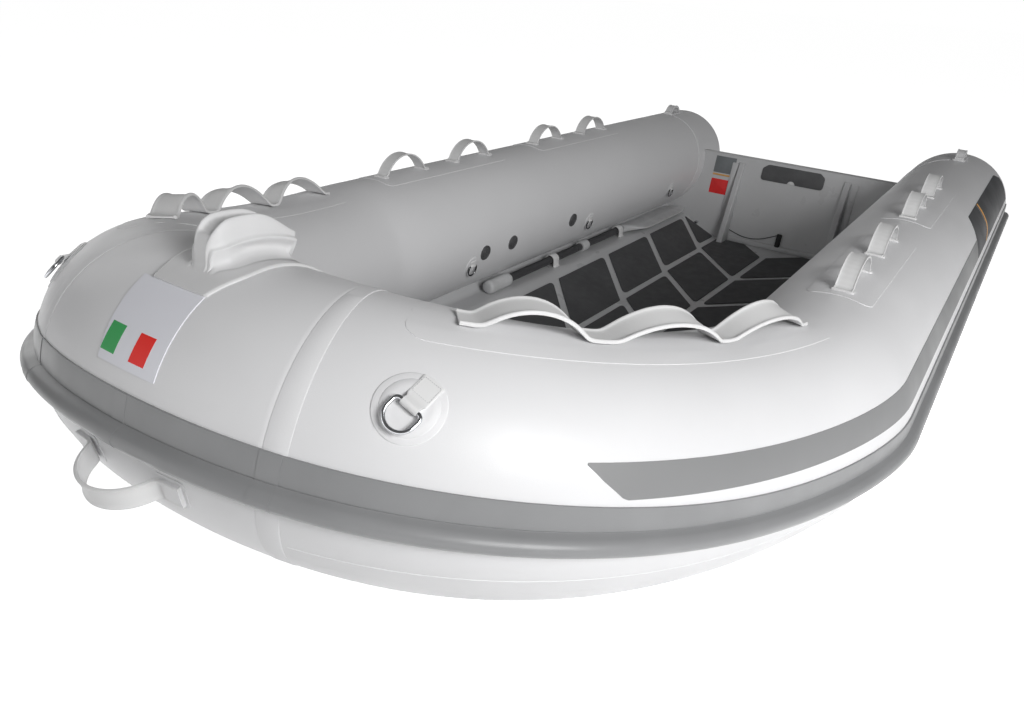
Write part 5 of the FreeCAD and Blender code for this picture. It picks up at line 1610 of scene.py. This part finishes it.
def make_camera():
    level = math.cos(CAMERA_PITCH)
    ahead = Vector((math.cos(CAMERA_YAW) * level, math.sin(CAMERA_YAW) * level, math.sin(CAMERA_PITCH)))
    right = Vector((math.sin(CAMERA_YAW), -math.cos(CAMERA_YAW), 0))
    up = right.cross(ahead)
    c, s = math.cos(CAMERA_ROLL), math.sin(CAMERA_ROLL)
    right, up = right * c + up * s, up * c - right * s
    lens = bpy.data.cameras.new("camera")
    lens.sensor_fit = "HORIZONTAL"
    lens.sensor_width = SENSOR_WIDTH
    lens.lens = FOCAL_PIXELS * SENSOR_WIDTH / FRAME_WIDTH
    lens.shift_x = -SHIFT_RIGHT / FRAME_WIDTH
    lens.shift_y = SHIFT_DOWN / FRAME_WIDTH
    lens.clip_end = 200.0
    camera = add_object("camera", lens)
    camera.matrix_world = Matrix((
        (right.x, up.x, -ahead.x, CAMERA_SPOT[0]),
        (right.y, up.y, -ahead.y, CAMERA_SPOT[1]),
        (right.z, up.z, -ahead.z, CAMERA_SPOT[2]),
        (0, 0, 0, 1),
    ))
    bpy.context.scene.camera = camera


HULL_LINE = (
    (-1.445, 0.0), (-1.445, 0.584), (-1.3, 0.590), (-1.0, 0.600), (-0.5, 0.604), (0.0, 0.613),
    (0.3, 0.613), (0.5, 0.616), (0.6, 0.616), (0.7, 0.611), (0.8, 0.596), (0.9, 0.570),
    (1.0, 0.533), (1.1, 0.452), (1.15, 0.386), (1.2, 0.288), (1.25, 0.160), (1.27, 0.0),
)


def node_makers(owner):
    """An emptied node tree's makers of nodes and links."""
    owner.use_nodes = True
    owner.node_tree.nodes.clear()
    return owner.node_tree.nodes.new, owner.node_tree.links.new


def greatest(new, link, path, rays):
    """1 for the named kinds of rays, else 0."""
    found = path.outputs[rays[0]]
    for name in rays[1:]:
        either = new("ShaderNodeMath")
        either.operation = "MAXIMUM"
        link(found, either.inputs[0])
        link(path.outputs[name], either.inputs[1])
        found = either.outputs[0]
    return found


def make_floor():
    """White floor at the waterline, open inside the walls of the hull."""
    half = [Vector((x, y, 0)) for x, y in HULL_LINE]
    ring = half + [Vector((p.x, -p.y, 0)) for p in half[-2:0:-1]]
    middle = Vector((-0.1, 0, 0))
    outer = [middle + (p - middle).normalized() * FLOOR_REACH for p in ring]
    count = len(ring)
    faces = [[k, (k + 1) % count, count + (k + 1) % count, count + k] for k in range(count)]
    mesh = bpy.data.meshes.new("floor")
    mesh.from_pydata([tuple(p) for p in ring + outer], [], faces)
    tidy_normals(mesh)
    floor = add_object("floor", mesh)
    material = bpy.data.materials.new("floor_white")
    new, link = node_makers(material)
    out = new("ShaderNodeOutputMaterial")
    matte = new("ShaderNodeBsdfDiffuse")
    matte.inputs["Color"].default_value = (0.8, 0.8, 0.8, 1)
    glow = new("ShaderNodeEmission")
    glow.inputs["Color"].default_value = (1, 1, 1, 1)
    path = new("ShaderNodeLightPath")
    clear = greatest(new, link, path, ("Is Camera Ray", "Is Glossy Ray", "Is Transmission Ray"))
    power = new("ShaderNodeMath")
    power.operation = "MULTIPLY"
    power.inputs[1].default_value = FLOOR_GLOW
    link(clear, power.inputs[0])
    link(power.outputs[0], glow.inputs["Strength"])
    add = new("ShaderNodeAddShader")
    link(matte.outputs[0], add.inputs[0])
    link(glow.outputs[0], add.inputs[1])
    link(add.outputs[0], out.inputs[0])
    mesh.materials.append(material)


def make_world():
    world = bpy.data.worlds.new("studio")
    bpy.context.scene.world = world
    new, link = node_makers(world)
    out = new("ShaderNodeOutputWorld")
    mix = new("ShaderNodeMixShader")
    for socket, strength in ((mix.inputs[1], WORLD_LIGHT), (mix.inputs[2], 1.0)):
        plain = new("ShaderNodeBackground")
        plain.inputs["Color"].default_value = (1, 1, 1, 1)
        plain.inputs["Strength"].default_value = strength
        link(plain.outputs[0], socket)
    path = new("ShaderNodeLightPath")
    link(greatest(new, link, path, ("Is Camera Ray", "Is Transmission Ray")), mix.inputs[0])
    link(mix.outputs[0], out.inputs[0])


def add_lamp(name, place, target, size, power):
    lamp = bpy.data.lights.new(name, "AREA")
    lamp.shape = "DISK"
    lamp.size = size
    lamp.energy = power
    work = add_object(name, lamp)
    work.location = place
    work.rotation_euler = (Vector(target) - Vector(place)).to_track_quat("-Z", "Y").to_euler()


make_camera()
make_lanyard()
make_tubes()
make_seam_bands()
make_strakes()
make_stripes()
make_patches()
make_loops()
make_grab_straps()
make_bow_handle()
make_stern_handles()
make_chock()
make_badge()
make_towing()
make_inner_fittings()
make_deck()
make_pads()
make_transom_dressing()
make_plug()
make_oars()
dress("hull", hull_paint)

make_floor()
make_world()
for lamp_row in LAMPS:
    add_lamp(*lamp_row)

bpy.context.scene.view_settings.view_transform = "Standard"
